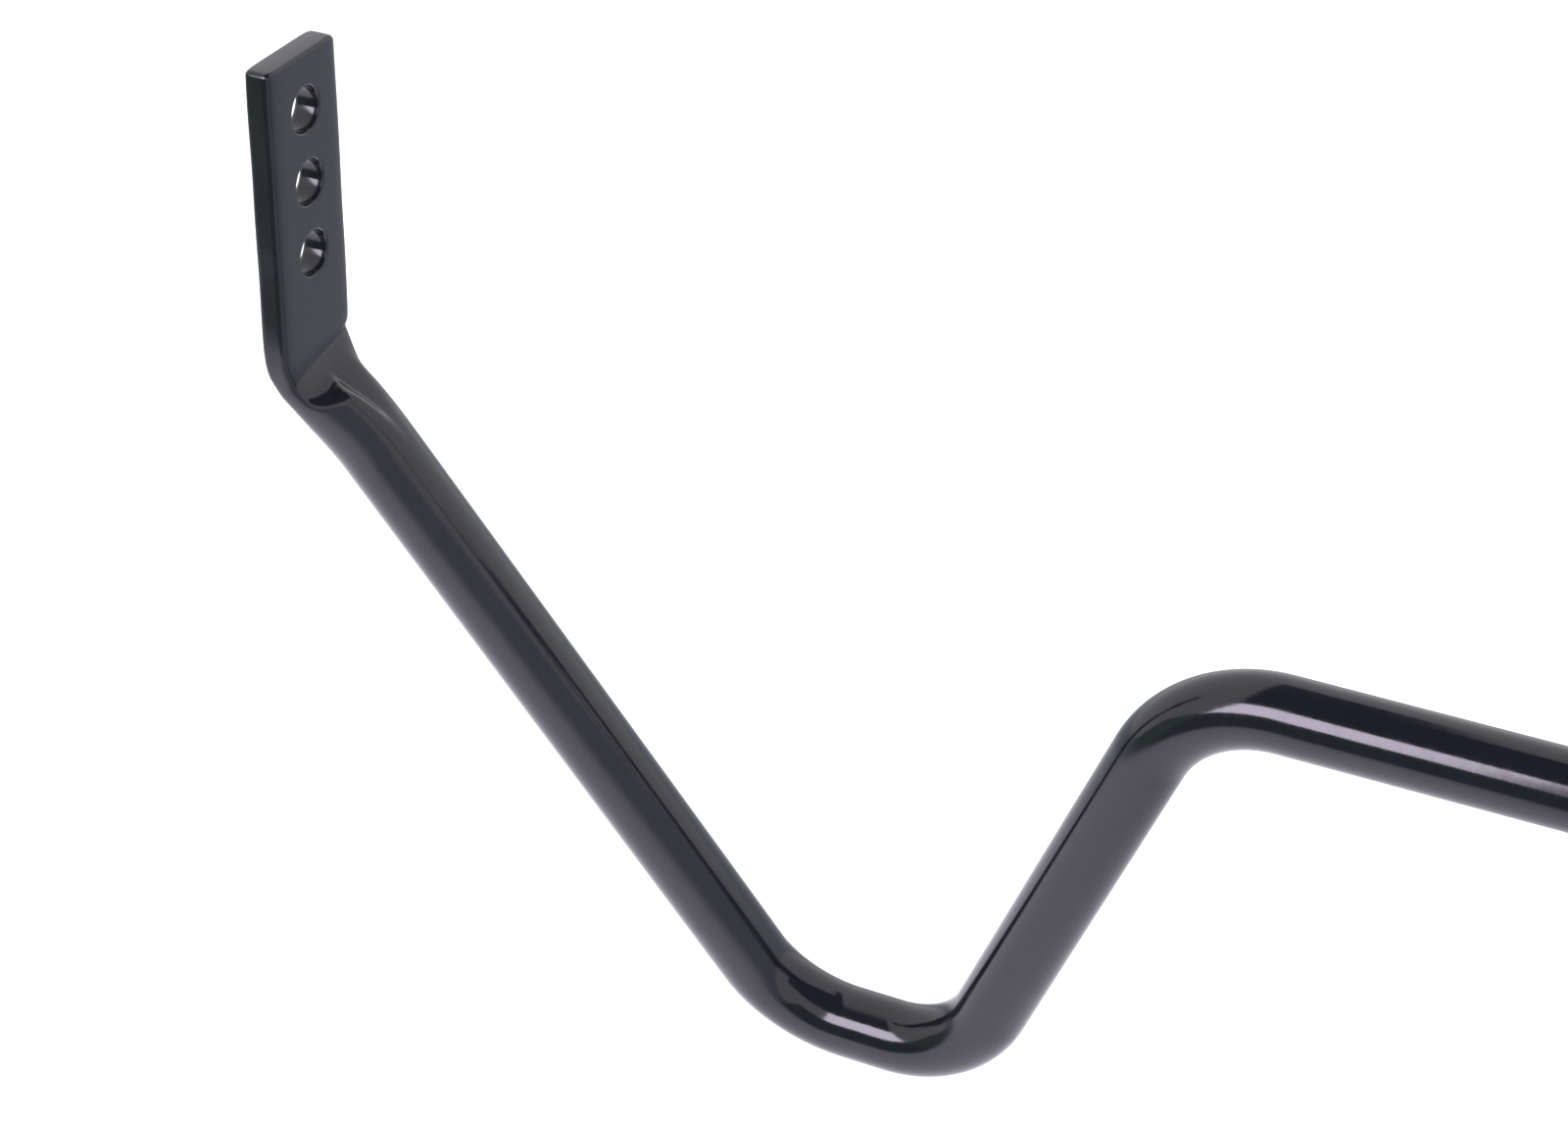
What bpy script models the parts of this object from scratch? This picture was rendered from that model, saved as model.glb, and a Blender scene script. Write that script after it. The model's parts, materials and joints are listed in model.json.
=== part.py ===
"""Vehicle sway bar with the bushes, saddles, fixings and lock collars it works in.

The bar is one length of round steel, bent cold and forged flat at both ends.
+X runs along the torsion axis to the right and +Z is up. The origin is on the
torsion axis, midway between the two saddles. All sizes are in metres.
"""

import math

import bmesh
import bpy
from mathutils import Matrix, Vector

MM = 0.001
GAP = 0.3 * MM  # between pieces that touch
WELD = 0.01 * MM  # corners closer than this are one corner

# Bar: round stock, one half described from the middle outwards
BAR_DIAMETER = 22 * MM
CENTRE_SPAN = 690 * MM  # between the two corners of the centre section
RISER = Vector((61, -4, -151)) * MM  # outward, back and down from the centre section
SHOULDER_LENGTH = 58 * MM  # short straight parallel to the torsion axis
ARM = Vector((115.5, -58, 231)) * MM  # outward, forward and up to the blade
CENTRE_BEND_RADIUS = 40 * MM
RISER_BEND_RADIUS = 34 * MM
ARM_BEND_RADIUS = 34 * MM
BLADE_BEND_RADIUS = 30 * MM
RING_POINTS = 24
BEND_STEP = math.radians(8)

# Blade: the flat forged end that takes the drop link
BLADE_WIDTH = 32.4 * MM
BLADE_THICKNESS = 8 * MM
BLADE_EDGE_RADIUS = 1.6 * MM
BLADE_LEAN = math.radians(2.2)
FORGED_LENGTH = 30 * MM  # round stock that thins into the blade, below the corner
THIN_START = 13 * MM  # where the faces begin to thin, below the corner
THIN_END = 2 * MM  # where they are flat, above the corner
HOLE_DIAMETER = 12 * MM
HOLE_PITCH = 20.5 * MM
HOLE_COUNT = 3
FIRST_HOLE = 15.5 * MM  # from the tip
LAST_HOLE = 30 * MM  # from the corner

# Bush: split D-section moulding
BRACKET_SPACING = 370 * MM
BUSH_WALL = 11 * MM
BUSH_LENGTH = 38 * MM
BUSH_FLAT_HEIGHT = 22 * MM  # from the torsion axis to the chassis face
LIP_WIDTH = 4.5 * MM
LIP_HEIGHT = 3 * MM
SLIT_WIDTH = 1.2 * MM

# Saddle: pressed strap that clamps the bush to the chassis
STRAP_THICKNESS = 4 * MM
STRAP_BEND_RADIUS = 4 * MM
FOOT_END_MARGIN = 14 * MM  # from a bolt to the end of its foot
WASHER_MARGIN = 0.7 * MM  # from a washer to the bend of the strap
BOLT_HOLE_CLEARANCE = 0.5 * MM

# Saddle fixings
BOLT_DIAMETER = 10 * MM
BOLT_HEAD_ACROSS_FLATS = 16 * MM
BOLT_HEAD_HEIGHT = 6.4 * MM
BOLT_REACH = 24 * MM  # past the chassis face
WASHER_DIAMETER = 20 * MM
WASHER_THICKNESS = 2 * MM
SPRING_WASHER_DIAMETER = 18 * MM
SPRING_WASHER_THICKNESS = 2.4 * MM

# Grease nipple
NIPPLE_THREAD_DIAMETER = 6 * MM
NIPPLE_HEX_ACROSS_FLATS = 8 * MM
NIPPLE_HEX_HEIGHT = 4 * MM
NIPPLE_HEIGHT = 11 * MM

# Lock collar: two halves pinched on the bar beside the bush
COLLAR_WALL = 9 * MM
COLLAR_WIDTH = 14 * MM
COLLAR_SPLIT = 1 * MM
COLLAR_SEAT_HEIGHT = 6.7 * MM
SCREW_DIAMETER = 5 * MM
SCREW_HEAD_DIAMETER = 8.5 * MM
SCREW_HEAD_HEIGHT = 5 * MM
SCREW_DEPTH = 10 * MM
SOCKET_ACROSS_FLATS = 4 * MM
SOCKET_DEPTH = 2.5 * MM
SCREW_WALL = 1.7 * MM  # collar metal between the bar bore and the screw hole

BAR_RADIUS = BAR_DIAMETER / 2
BORE_RADIUS = (BAR_RADIUS + GAP) / math.cos(math.pi / RING_POINTS)
BUSH_RADIUS = BAR_RADIUS + BUSH_WALL
BLADE_LENGTH = FIRST_HOLE + HOLE_PITCH * (HOLE_COUNT - 1) + LAST_HOLE
STRAP_RADIUS = BUSH_RADIUS + GAP + STRAP_THICKNESS
BOLT_Y = STRAP_RADIUS + STRAP_BEND_RADIUS + WASHER_MARGIN + WASHER_DIAMETER / 2
OVERCUT = 2 * MM


def clear_scene():
    for item in list(bpy.data.objects):
        bpy.data.objects.remove(item, do_unlink=True)


def make_collection(name):
    group = bpy.data.collections.new(name)
    bpy.context.scene.collection.children.link(group)
    return group


def make_material(name, colour, roughness, metallic):
    material = bpy.data.materials.new(name)
    material.use_nodes = True
    shader = material.node_tree.nodes["Principled BSDF"]
    shader.inputs["Base Color"].default_value = (*colour, 1)
    shader.inputs["Roughness"].default_value = roughness
    shader.inputs["Metallic"].default_value = metallic
    return material


def shade(mesh):
    mesh.shade_smooth()
    mesh.set_sharp_from_angle(angle=math.radians(35))


def place(name, mesh, material, parent=None, location=(0, 0, 0)):
    """Adds a named piece to the sway bar."""
    own = material.copy()
    own.name = name + "_finish"
    item = bpy.data.objects.new(name, mesh.copy())
    item.data.materials.clear()
    item.data.materials.append(own)
    shade(item.data)
    PARTS.objects.link(item)
    item.parent = parent
    item.location = location
    return item


def hide_cutter(item):
    item.hide_render = True
    item.display_type = "WIRE"
    return item


def add_cutter(name, mesh, matrix=None):
    item = bpy.data.objects.new(name, mesh)
    if matrix is not None:
        item.matrix_world = matrix
    CUTTERS.objects.link(item)
    return hide_cutter(item)


def combine(target, tool, operation):
    step = target.modifiers.new(tool.name, "BOOLEAN")
    step.operation = operation
    step.object = tool
    step.solver = "EXACT"


def settled_mesh(item):
    """The mesh that an object's curve or modifiers give, with loose caps welded on."""
    bpy.context.view_layer.update()
    graph = bpy.context.evaluated_depsgraph_get()
    mesh = bpy.data.meshes.new_from_object(item.evaluated_get(graph), depsgraph=graph)
    mesh.transform(item.matrix_world)
    shape = bmesh.new()
    shape.from_mesh(mesh)
    bmesh.ops.remove_doubles(shape, verts=shape.verts, dist=WELD)
    shape.to_mesh(mesh)
    shape.free()
    return mesh


def prism(name, outline, length):
    """A flat outline in (Y, Z), extruded along X and centred on X = 0."""
    curve = bpy.data.curves.new(name, "CURVE")
    curve.dimensions = "2D"
    curve.fill_mode = "BOTH"
    curve.extrude = length / 2
    spline = curve.splines.new("POLY")
    spline.points.add(len(outline) - 1)
    for point, (y, z) in zip(spline.points, outline):
        point.co = (y, z, 0, 1)
    spline.use_cyclic_u = True
    item = bpy.data.objects.new(name, curve)
    CUTTERS.objects.link(item)
    item.matrix_world = Matrix(((0, 0, 1, 0), (1, 0, 0, 0), (0, 1, 0, 0), (0, 0, 0, 1)))
    mesh = settled_mesh(item)
    bpy.data.objects.remove(item, do_unlink=True)
    return mesh


def cylinder(name, radius, start, end, segments=24):
    """An upright cylinder from start to end on the Z axis."""
    shape = bmesh.new()
    centre = Matrix.Translation((0, 0, (start + end) / 2))
    bmesh.ops.create_cone(
        shape,
        cap_ends=True,
        segments=segments,
        radius1=radius,
        radius2=radius,
        depth=end - start,
        matrix=centre,
    )
    mesh = bpy.data.meshes.new(name)
    shape.to_mesh(mesh)
    shape.free()
    return mesh


def turned(name, profile, steps=24):
    """Turns a closed or axis-to-axis profile of (radius, Z) about the Z axis."""
    mesh = bpy.data.meshes.new(name)
    points = [(radius, 0, height) for radius, height in profile]
    closed = profile[0][0] > 0
    edges = [(i, i + 1) for i in range(len(points) - 1)]
    if closed:
        edges.append((len(points) - 1, 0))
    mesh.from_pydata(points, edges, [])
    item = bpy.data.objects.new(name, mesh)
    CUTTERS.objects.link(item)
    lathe = item.modifiers.new("lathe", "SCREW")
    lathe.steps = steps
    lathe.render_steps = steps
    lathe.use_merge_vertices = True
    lathe.merge_threshold = WELD
    result = settled_mesh(item)
    bpy.data.objects.remove(item, do_unlink=True)
    return result


def arc(centre, radius, start, end, steps):
    """Points round an arc in (Y, Z), from start to end in degrees."""
    points = []
    for i in range(steps + 1):
        angle = math.radians(start + (end - start) * i / steps)
        points.append((centre[0] + radius * math.cos(angle), centre[1] + radius * math.sin(angle)))
    return points


def smooth_step(value):
    value = min(max(value, 0), 1)
    return value * value * (3 - 2 * value)


# ---- Bar ----------------------------------------------------------------------


def bar_corners():
    """Corners of the left half's centre line, from the middle of the bar to the tip."""
    outward = Vector((-1, 1, 1))
    centre_end = Vector((-CENTRE_SPAN / 2, 0, 0))
    riser_end = centre_end + RISER * outward
    arm_start = riser_end - Vector((SHOULDER_LENGTH, 0, 0))
    blade_start = arm_start + ARM * outward
    tip = blade_start + blade_axis() * BLADE_LENGTH
    return [Vector((0, 0, 0)), centre_end, riser_end, arm_start, blade_start, tip]


def blade_axis():
    return Vector((0, math.sin(BLADE_LEAN), math.cos(BLADE_LEAN)))


def blade_side():
    return Vector((0, math.cos(BLADE_LEAN), -math.sin(BLADE_LEAN)))


def bend_points(before, corner, after, radius):
    """Centre-line points round one bend."""
    to_before = (before - corner).normalized()
    to_after = (after - corner).normalized()
    half_angle = to_before.angle(to_after) / 2
    reach = radius / math.tan(half_angle)
    middle = corner + (to_before + to_after).normalized() * (radius / math.sin(half_angle))
    first = corner + to_before * reach - middle
    axis = first.cross(to_before).normalized()
    sweep = math.pi - 2 * half_angle
    steps = max(2, math.ceil(sweep / BEND_STEP))
    turned_points = []
    for i in range(steps + 1):
        turn = Matrix.Rotation(-sweep * i / steps, 3, axis)
        turned_points.append(middle + turn @ first)
    return turned_points


def bar_line():
    """Centre line of the left half as points, with short steps where the bar is forged."""
    corners = bar_corners()
    radii = [CENTRE_BEND_RADIUS, RISER_BEND_RADIUS, ARM_BEND_RADIUS, BLADE_BEND_RADIUS]
    line = [corners[0]]
    for i, radius in enumerate(radii, start=1):
        bend = bend_points(corners[i - 1], corners[i], corners[i + 1], radius)
        if i == len(radii):
            down_arm = (corners[i - 1] - corners[i]).normalized()
            for reach in (FORGED_LENGTH, FORGED_LENGTH * 0.8, FORGED_LENGTH * 0.6, THIN_START):
                line.append(corners[i] + down_arm * reach)
        line.extend(bend)
    flat_start = corners[-2] + blade_axis() * (THIN_END + BLADE_BEND_RADIUS * 0.3)
    line.append(flat_start)
    line.append(corners[-1])
    return line


def blade_section():
    """Rounded rectangle as (thickness, width) points, in step with the round section."""
    half = (BLADE_THICKNESS / 2 - BLADE_EDGE_RADIUS, BLADE_WIDTH / 2 - BLADE_EDGE_RADIUS)
    diagonal = BLADE_EDGE_RADIUS * math.sqrt(0.5)
    side_points = RING_POINTS // 4 - 1
    points = []
    for quarter in range(4):
        turn = math.pi / 2 * quarter
        across = (round(math.cos(turn)), round(math.sin(turn)))
        along = (-across[1], across[0])
        for i in range(side_points):
            share = -1 + 2 * i / (side_points - 1)
            points.append(tuple(
                across[k] * (half[k] + BLADE_EDGE_RADIUS) + along[k] * half[k] * share
                for k in (0, 1)
            ))
        points.append(tuple((across[k] + along[k]) * (half[k] + diagonal) for k in (0, 1)))
    return points


def round_section():
    """The round section, starting two points before the thickness direction."""
    lead = (RING_POINTS // 4 - 1) // 2
    points = []
    for i in range(RING_POINTS):
        angle = 2 * math.pi * (i - lead) / RING_POINTS
        points.append((BAR_RADIUS * math.cos(angle), BAR_RADIUS * math.sin(angle)))
    return points


def half_bar_mesh():
    """Left half of the bar: round section lofted along the line and into the blade."""
    line = bar_line()
    corner = bar_corners()[-2]
    arm_direction = (corner - bar_corners()[-3]).normalized()
    tangents = []
    for i, point in enumerate(line):
        before = line[max(i - 1, 0)]
        after = line[min(i + 1, len(line) - 1)]
        tangents.append((after - before).normalized())
    tangents[0] = Vector((-1, 0, 0))
    round_points = round_section()
    flat_points = blade_section()
    shape = bmesh.new()
    thickness_axis = Vector((1, 0, 0))
    width_axis = blade_side()
    rings = []
    for i in range(len(line) - 1, -1, -1):
        if i + 1 < len(line):
            turn = tangents[i + 1].rotation_difference(tangents[i])
            thickness_axis = turn @ thickness_axis
            width_axis = turn @ width_axis
        position = line[i] - corner
        reach = position.dot(blade_axis()) if position.z > 0 else position.dot(arm_direction)
        thinned = smooth_step((reach + THIN_START) / (THIN_START + THIN_END))
        widened = smooth_step((reach + FORGED_LENGTH) / (FORGED_LENGTH + THIN_END))
        ring = []
        for (round_u, round_v), (flat_u, flat_v) in zip(round_points, flat_points):
            across = round_u + (flat_u - round_u) * thinned
            along = round_v + (flat_v - round_v) * widened
            ring.append(shape.verts.new(line[i] + thickness_axis * across + width_axis * along))
        rings.append(ring)
    for outer, inner in zip(rings, rings[1:]):
        for k in range(RING_POINTS):
            following = (k + 1) % RING_POINTS
            shape.faces.new((outer[k], outer[following], inner[following], inner[k]))
    shape.faces.new(rings[0])
    bmesh.ops.recalc_face_normals(shape, faces=shape.faces)
    mesh = bpy.data.meshes.new("half_bar")
    shape.to_mesh(mesh)
    shape.free()
    return mesh


def make_bar(parent):
    bar = place("bar", half_bar_mesh(), POWDER_COAT, parent)
    mirror = bar.modifiers.new("right_half", "MIRROR")
    mirror.merge_threshold = WELD
    reach = BLADE_THICKNESS / 2 + OVERCUT
    hole = cylinder("link_hole", HOLE_DIAMETER / 2, -reach, reach)
    tip = bar_corners()[-1]
    for side in (1, -1):
        for i in range(HOLE_COUNT):
            centre = tip - blade_axis() * (FIRST_HOLE + HOLE_PITCH * i)
            centre.x *= side
            across = Matrix.Translation(centre) @ Matrix.Rotation(math.pi / 2, 4, "Y")
            combine(bar, add_cutter(f"link_hole_{side}_{i}", hole, across), "DIFFERENCE")


# ---- Bush ---------------------------------------------------------------------


def d_outline(radius, top, steps=12):
    """A D on its back: flat on top, round underneath."""
    return [(-radius, top), *arc((0, 0), radius, 180, 360, steps), (radius, top)]


def bush_mesh():
    """Split D bush: a lipped block with a seat cut round it for the saddle."""
    slit = SLIT_WIDTH / 2
    outer = BUSH_RADIUS + LIP_HEIGHT
    slit_angle = math.degrees(math.asin(slit / BORE_RADIUS))
    top = BUSH_FLAT_HEIGHT
    underside = arc((0, 0), outer, 180, 360, 12)[:-1]
    bore = arc((0, 0), BORE_RADIUS, 360 - slit_angle, slit_angle, RING_POINTS)
    outline = [(outer, slit), (outer, top), (-outer, top), *underside, (outer, -slit), *bore]
    block = prism("bush_block", outline, BUSH_LENGTH)
    item = bpy.data.objects.new("bush_blank", block)
    CUTTERS.objects.link(hide_cutter(item))
    far = outer + OVERCUT
    above = BUSH_FLAT_HEIGHT + OVERCUT
    channel = [*d_outline(far, above), *reversed(d_outline(BUSH_RADIUS, above))]
    seat = prism("bush_seat", channel, BUSH_LENGTH - 2 * LIP_WIDTH)
    combine(item, add_cutter("bush_seat", seat), "DIFFERENCE")
    way_end = -BUSH_RADIUS - OVERCUT
    drill = cylinder("grease_way", NIPPLE_THREAD_DIAMETER / 4, way_end, -BAR_RADIUS / 2, 12)
    combine(item, add_cutter("grease_way", drill), "DIFFERENCE")
    return settled_mesh(item)


# ---- Saddle and its fixings ---------------------------------------------------


def saddle_outline():
    """Strap bent round the bush, with a foot turned out at each side."""
    inner = BUSH_RADIUS + GAP
    outer = STRAP_RADIUS
    top = BUSH_FLAT_HEIGHT
    bend = (outer + STRAP_BEND_RADIUS, top - STRAP_THICKNESS - STRAP_BEND_RADIUS)
    foot_end = BOLT_Y + FOOT_END_MARGIN
    under = [
        *arc((0, 0), outer, 270, 360, 8),
        *arc(bend, STRAP_BEND_RADIUS, 180, 90, 4),
        (foot_end, top - STRAP_THICKNESS),
    ]
    over = [
        (foot_end, top),
        *arc(bend, STRAP_BEND_RADIUS + STRAP_THICKNESS, 90, 180, 4),
        *arc((0, 0), inner, 360, 270, 8),
    ]
    left_over = [(-y, z) for y, z in reversed(over[:-1])]
    left_under = [(-y, z) for y, z in reversed(under[1:])]
    return [*under, *over, *left_over, *left_under]


def saddle_mesh():
    strap_width = BUSH_LENGTH - 2 * LIP_WIDTH - 2 * GAP
    strap = prism("saddle_strap", saddle_outline(), strap_width)
    item = bpy.data.objects.new("saddle_blank", strap)
    CUTTERS.objects.link(hide_cutter(item))
    foot_under = BUSH_FLAT_HEIGHT - STRAP_THICKNESS
    hole_radius = BOLT_DIAMETER / 2 + BOLT_HOLE_CLEARANCE
    hole = cylinder("saddle_hole", hole_radius, foot_under - OVERCUT, BUSH_FLAT_HEIGHT + OVERCUT)
    for side in (1, -1):
        where = Matrix.Translation((0, BOLT_Y * side, 0))
        combine(item, add_cutter(f"saddle_hole_{side}", hole, where), "DIFFERENCE")
    hole_radius = NIPPLE_THREAD_DIAMETER / 2 + GAP
    thread = cylinder("nipple_hole", hole_radius, -STRAP_RADIUS - OVERCUT, OVERCUT - BUSH_RADIUS)
    combine(item, add_cutter("nipple_hole", thread), "DIFFERENCE")
    return settled_mesh(item)


def hex_radius(across_flats):
    return across_flats / 2 / math.cos(math.pi / 6)


def bolt_mesh(head_top):
    """Hexagon bolt, head down; head_top is the height of its bearing face."""
    head_bottom = head_top - BOLT_HEAD_HEIGHT
    head = cylinder("bolt_head", hex_radius(BOLT_HEAD_ACROSS_FLATS), head_bottom, head_top, 6)
    item = bpy.data.objects.new("bolt_blank", head)
    CUTTERS.objects.link(hide_cutter(item))
    shank_end = BUSH_FLAT_HEIGHT + BOLT_REACH
    shank = cylinder("bolt_shank", BOLT_DIAMETER / 2, head_top - BOLT_HEAD_HEIGHT / 2, shank_end)
    combine(item, add_cutter("bolt_shank", shank), "UNION")
    return settled_mesh(item)


def washer_mesh(top):
    """Flat washer whose upper face is at the given height."""
    inner = BOLT_DIAMETER / 2 + GAP
    outer = WASHER_DIAMETER / 2
    bottom = top - WASHER_THICKNESS
    return turned("washer", [(outer, top), (outer, bottom), (inner, bottom), (inner, top)])


def spring_washer_mesh(top):
    """Split spring washer, shown clamped flat."""
    inner = BOLT_DIAMETER / 2 + GAP
    outer = SPRING_WASHER_DIAMETER / 2
    opening = 12
    rim = arc((0, 0), outer, opening, 360, RING_POINTS)
    bore = arc((0, 0), inner, 360, opening, RING_POINTS)
    mesh = prism("spring_washer", [*rim, *bore], SPRING_WASHER_THICKNESS)
    upright = Matrix.Rotation(-math.pi / 2, 4, "Y")
    mesh.transform(Matrix.Translation((0, 0, top - SPRING_WASHER_THICKNESS / 2)) @ upright)
    return mesh


def nipple_mesh():
    """Grease nipple, pointing down, screwed through the crown of the saddle."""
    seat = -(STRAP_RADIUS + GAP)
    thread_end = -(BUSH_RADIUS + 2 * GAP)
    hex_end = seat - NIPPLE_HEX_HEIGHT
    tip = seat - NIPPLE_HEIGHT
    neck = NIPPLE_THREAD_DIAMETER * 0.33
    ball = NIPPLE_THREAD_DIAMETER * 0.5
    body = turned("nipple_body", [
        (0, thread_end),
        (NIPPLE_THREAD_DIAMETER / 2, thread_end),
        (NIPPLE_THREAD_DIAMETER / 2, seat - NIPPLE_HEX_HEIGHT / 2),
        (neck, seat - NIPPLE_HEX_HEIGHT / 2),
        (neck, tip + ball * 1.6),
        (ball, tip + ball),
        (ball * 0.6, tip),
        (0, tip),
    ], 16)
    item = bpy.data.objects.new("nipple_blank", body)
    CUTTERS.objects.link(hide_cutter(item))
    collar = cylinder("nipple_hex", hex_radius(NIPPLE_HEX_ACROSS_FLATS), hex_end, seat, 6)
    combine(item, add_cutter("nipple_hex", collar), "UNION")
    return settled_mesh(item)


def make_bracket(side_name, side):
    """Bush, saddle, grease nipple and fixings on one side of the chassis."""
    holder = bpy.data.objects.new(side_name + "_bracket", None)
    PARTS.objects.link(holder)
    holder.location = (BRACKET_SPACING / 2 * side, 0, 0)
    washer_top = BUSH_FLAT_HEIGHT - STRAP_THICKNESS - GAP
    spring_top = washer_top - WASHER_THICKNESS - GAP
    head_top = spring_top - SPRING_WASHER_THICKNESS - GAP
    place(side_name + "_bush", bush_mesh(), POLYURETHANE, holder)
    place(side_name + "_saddle", saddle_mesh(), ZINC_PLATE, holder)
    place(side_name + "_grease_nipple", nipple_mesh(), ZINC_PLATE, holder)
    for end_name, end in (("front", -1), ("rear", 1)):
        where = (0, BOLT_Y * end, 0)
        place(f"{side_name}_bolt_{end_name}", bolt_mesh(head_top), BOLT_STEEL, holder, where)
        place(f"{side_name}_washer_{end_name}", washer_mesh(washer_top), ZINC_PLATE, holder, where)
        spring = spring_washer_mesh(spring_top)
        place(f"{side_name}_spring_washer_{end_name}", spring, BOLT_STEEL, holder, where)


# ---- Lock collar --------------------------------------------------------------


def screw_offset():
    return BORE_RADIUS + SCREW_WALL + SCREW_DIAMETER / 2 + GAP


def collar_half_mesh(top):
    """Upper or lower half of the collar, drilled for its two pinch screws."""
    split = COLLAR_SPLIT / 2
    outer_radius = BORE_RADIUS + COLLAR_WALL
    outer_start = math.degrees(math.asin(split / outer_radius))
    inner_start = math.degrees(math.asin(split / BORE_RADIUS))
    outline = [
        *arc((0, 0), outer_radius, outer_start, 180 - outer_start, 16),
        *arc((0, 0), BORE_RADIUS, 180 - inner_start, inner_start, 12),
    ]
    if not top:
        outline = [(y, -z) for y, z in reversed(outline)]
    name = "collar_upper" if top else "collar_lower"
    item = bpy.data.objects.new(name + "_blank", prism(name, outline, COLLAR_WIDTH))
    CUTTERS.objects.link(hide_cutter(item))
    far = outer_radius + OVERCUT
    drill = cylinder(name + "_drill", SCREW_DIAMETER / 2 + GAP, -far, far, 16)
    pocket_radius = SCREW_HEAD_DIAMETER / 2 + GAP
    pocket = cylinder(name + "_pocket", pocket_radius, COLLAR_SEAT_HEIGHT, far, 20)
    for end in (1, -1):
        where = Matrix.Translation((0, screw_offset() * end, 0))
        combine(item, add_cutter(f"{name}_drill_{end}", drill, where), "DIFFERENCE")
        if top:
            combine(item, add_cutter(f"{name}_pocket_{end}", pocket, where), "DIFFERENCE")
    return settled_mesh(item)


def screw_mesh():
    """Socket head cap screw, head up, its bearing face just clear of the pocket."""
    seat = COLLAR_SEAT_HEIGHT + GAP
    top = seat + SCREW_HEAD_HEIGHT
    head = SCREW_HEAD_DIAMETER / 2
    shank = SCREW_DIAMETER / 2
    body = turned("screw_body", [
        (0, top),
        (head, top),
        (head, seat),
        (shank, seat),
        (shank, -SCREW_DEPTH),
        (0, -SCREW_DEPTH),
    ], 20)
    item = bpy.data.objects.new("screw_blank", body)
    CUTTERS.objects.link(hide_cutter(item))
    socket_radius = hex_radius(SOCKET_ACROSS_FLATS)
    socket = cylinder("screw_socket", socket_radius, top - SOCKET_DEPTH, top + OVERCUT, 6)
    combine(item, add_cutter("screw_socket", socket), "DIFFERENCE")
    return settled_mesh(item)


def make_collar(side_name, side, parent):
    """Lock collar on the bar, inboard of the bush."""
    inboard = BRACKET_SPACING / 2 - BUSH_LENGTH / 2 - GAP - COLLAR_WIDTH / 2
    centre = Vector((inboard * side, 0, 0))
    place(side_name + "_collar_upper", collar_half_mesh(True), COLLAR_STEEL, parent, centre)
    place(side_name + "_collar_lower", collar_half_mesh(False), COLLAR_STEEL, parent, centre)
    for end_name, end in (("front", -1), ("rear", 1)):
        where = centre + Vector((0, screw_offset() * end, 0))
        place(f"{side_name}_collar_screw_{end_name}", screw_mesh(), BLACK_OXIDE, parent, where)


clear_scene()
PARTS = make_collection("sway_bar")
CUTTERS = make_collection("sway_bar_cutters")
POWDER_COAT = make_material("black_powder_coat", (0.012, 0.013, 0.016), 0.22, 0.0)
POLYURETHANE = make_material("black_polyurethane", (0.02, 0.02, 0.022), 0.55, 0.0)
ZINC_PLATE = make_material("zinc_plated_steel", (0.56, 0.57, 0.58), 0.35, 1.0)
BOLT_STEEL = make_material("zinc_plated_bolt", (0.50, 0.50, 0.49), 0.32, 1.0)
COLLAR_STEEL = make_material("machined_collar_steel", (0.42, 0.42, 0.43), 0.38, 1.0)
BLACK_OXIDE = make_material("black_oxide_screw", (0.03, 0.03, 0.032), 0.45, 0.6)

torsion_axis = bpy.data.objects.new("torsion_axis", None)
PARTS.objects.link(torsion_axis)
make_bar(torsion_axis)
for side_label, direction in (("left", -1), ("right", 1)):
    make_bracket(side_label, direction)
    make_collar(side_label, direction, torsion_axis)
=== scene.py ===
"""Looks of a sway bar and its chassis hardware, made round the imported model.

The file goes through the object as it is put together: the bar, then the bush and
saddle that hold it, the fixings, the grease nipple, and the lock collars.
"""

import json
import math

import bmesh
import bpy
from mathutils import Matrix, Vector, noise

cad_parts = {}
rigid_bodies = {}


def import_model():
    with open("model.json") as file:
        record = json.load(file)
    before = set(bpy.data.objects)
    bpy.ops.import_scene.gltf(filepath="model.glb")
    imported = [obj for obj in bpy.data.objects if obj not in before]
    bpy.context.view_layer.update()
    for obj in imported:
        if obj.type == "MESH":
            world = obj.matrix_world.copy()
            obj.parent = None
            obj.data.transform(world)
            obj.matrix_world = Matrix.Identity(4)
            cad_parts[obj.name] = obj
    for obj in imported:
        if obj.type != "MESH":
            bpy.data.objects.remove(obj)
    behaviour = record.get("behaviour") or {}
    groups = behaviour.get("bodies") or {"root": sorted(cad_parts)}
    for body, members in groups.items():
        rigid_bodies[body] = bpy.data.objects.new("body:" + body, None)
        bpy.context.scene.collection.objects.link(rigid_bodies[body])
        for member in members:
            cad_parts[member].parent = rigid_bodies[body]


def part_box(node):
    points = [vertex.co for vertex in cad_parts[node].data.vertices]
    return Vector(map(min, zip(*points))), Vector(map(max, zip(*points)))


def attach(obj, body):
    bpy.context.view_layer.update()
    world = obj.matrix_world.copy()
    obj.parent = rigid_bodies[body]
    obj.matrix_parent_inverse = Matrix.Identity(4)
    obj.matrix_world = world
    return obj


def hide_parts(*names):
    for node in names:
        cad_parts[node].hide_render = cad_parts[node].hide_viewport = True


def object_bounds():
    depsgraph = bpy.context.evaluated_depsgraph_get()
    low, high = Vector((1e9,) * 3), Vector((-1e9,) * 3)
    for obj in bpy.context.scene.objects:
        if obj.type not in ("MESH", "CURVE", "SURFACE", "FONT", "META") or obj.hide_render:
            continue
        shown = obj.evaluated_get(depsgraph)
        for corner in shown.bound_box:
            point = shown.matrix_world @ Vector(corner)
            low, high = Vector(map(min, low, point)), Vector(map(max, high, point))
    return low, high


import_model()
cad_low, cad_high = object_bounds()
MM = 0.001


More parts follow.
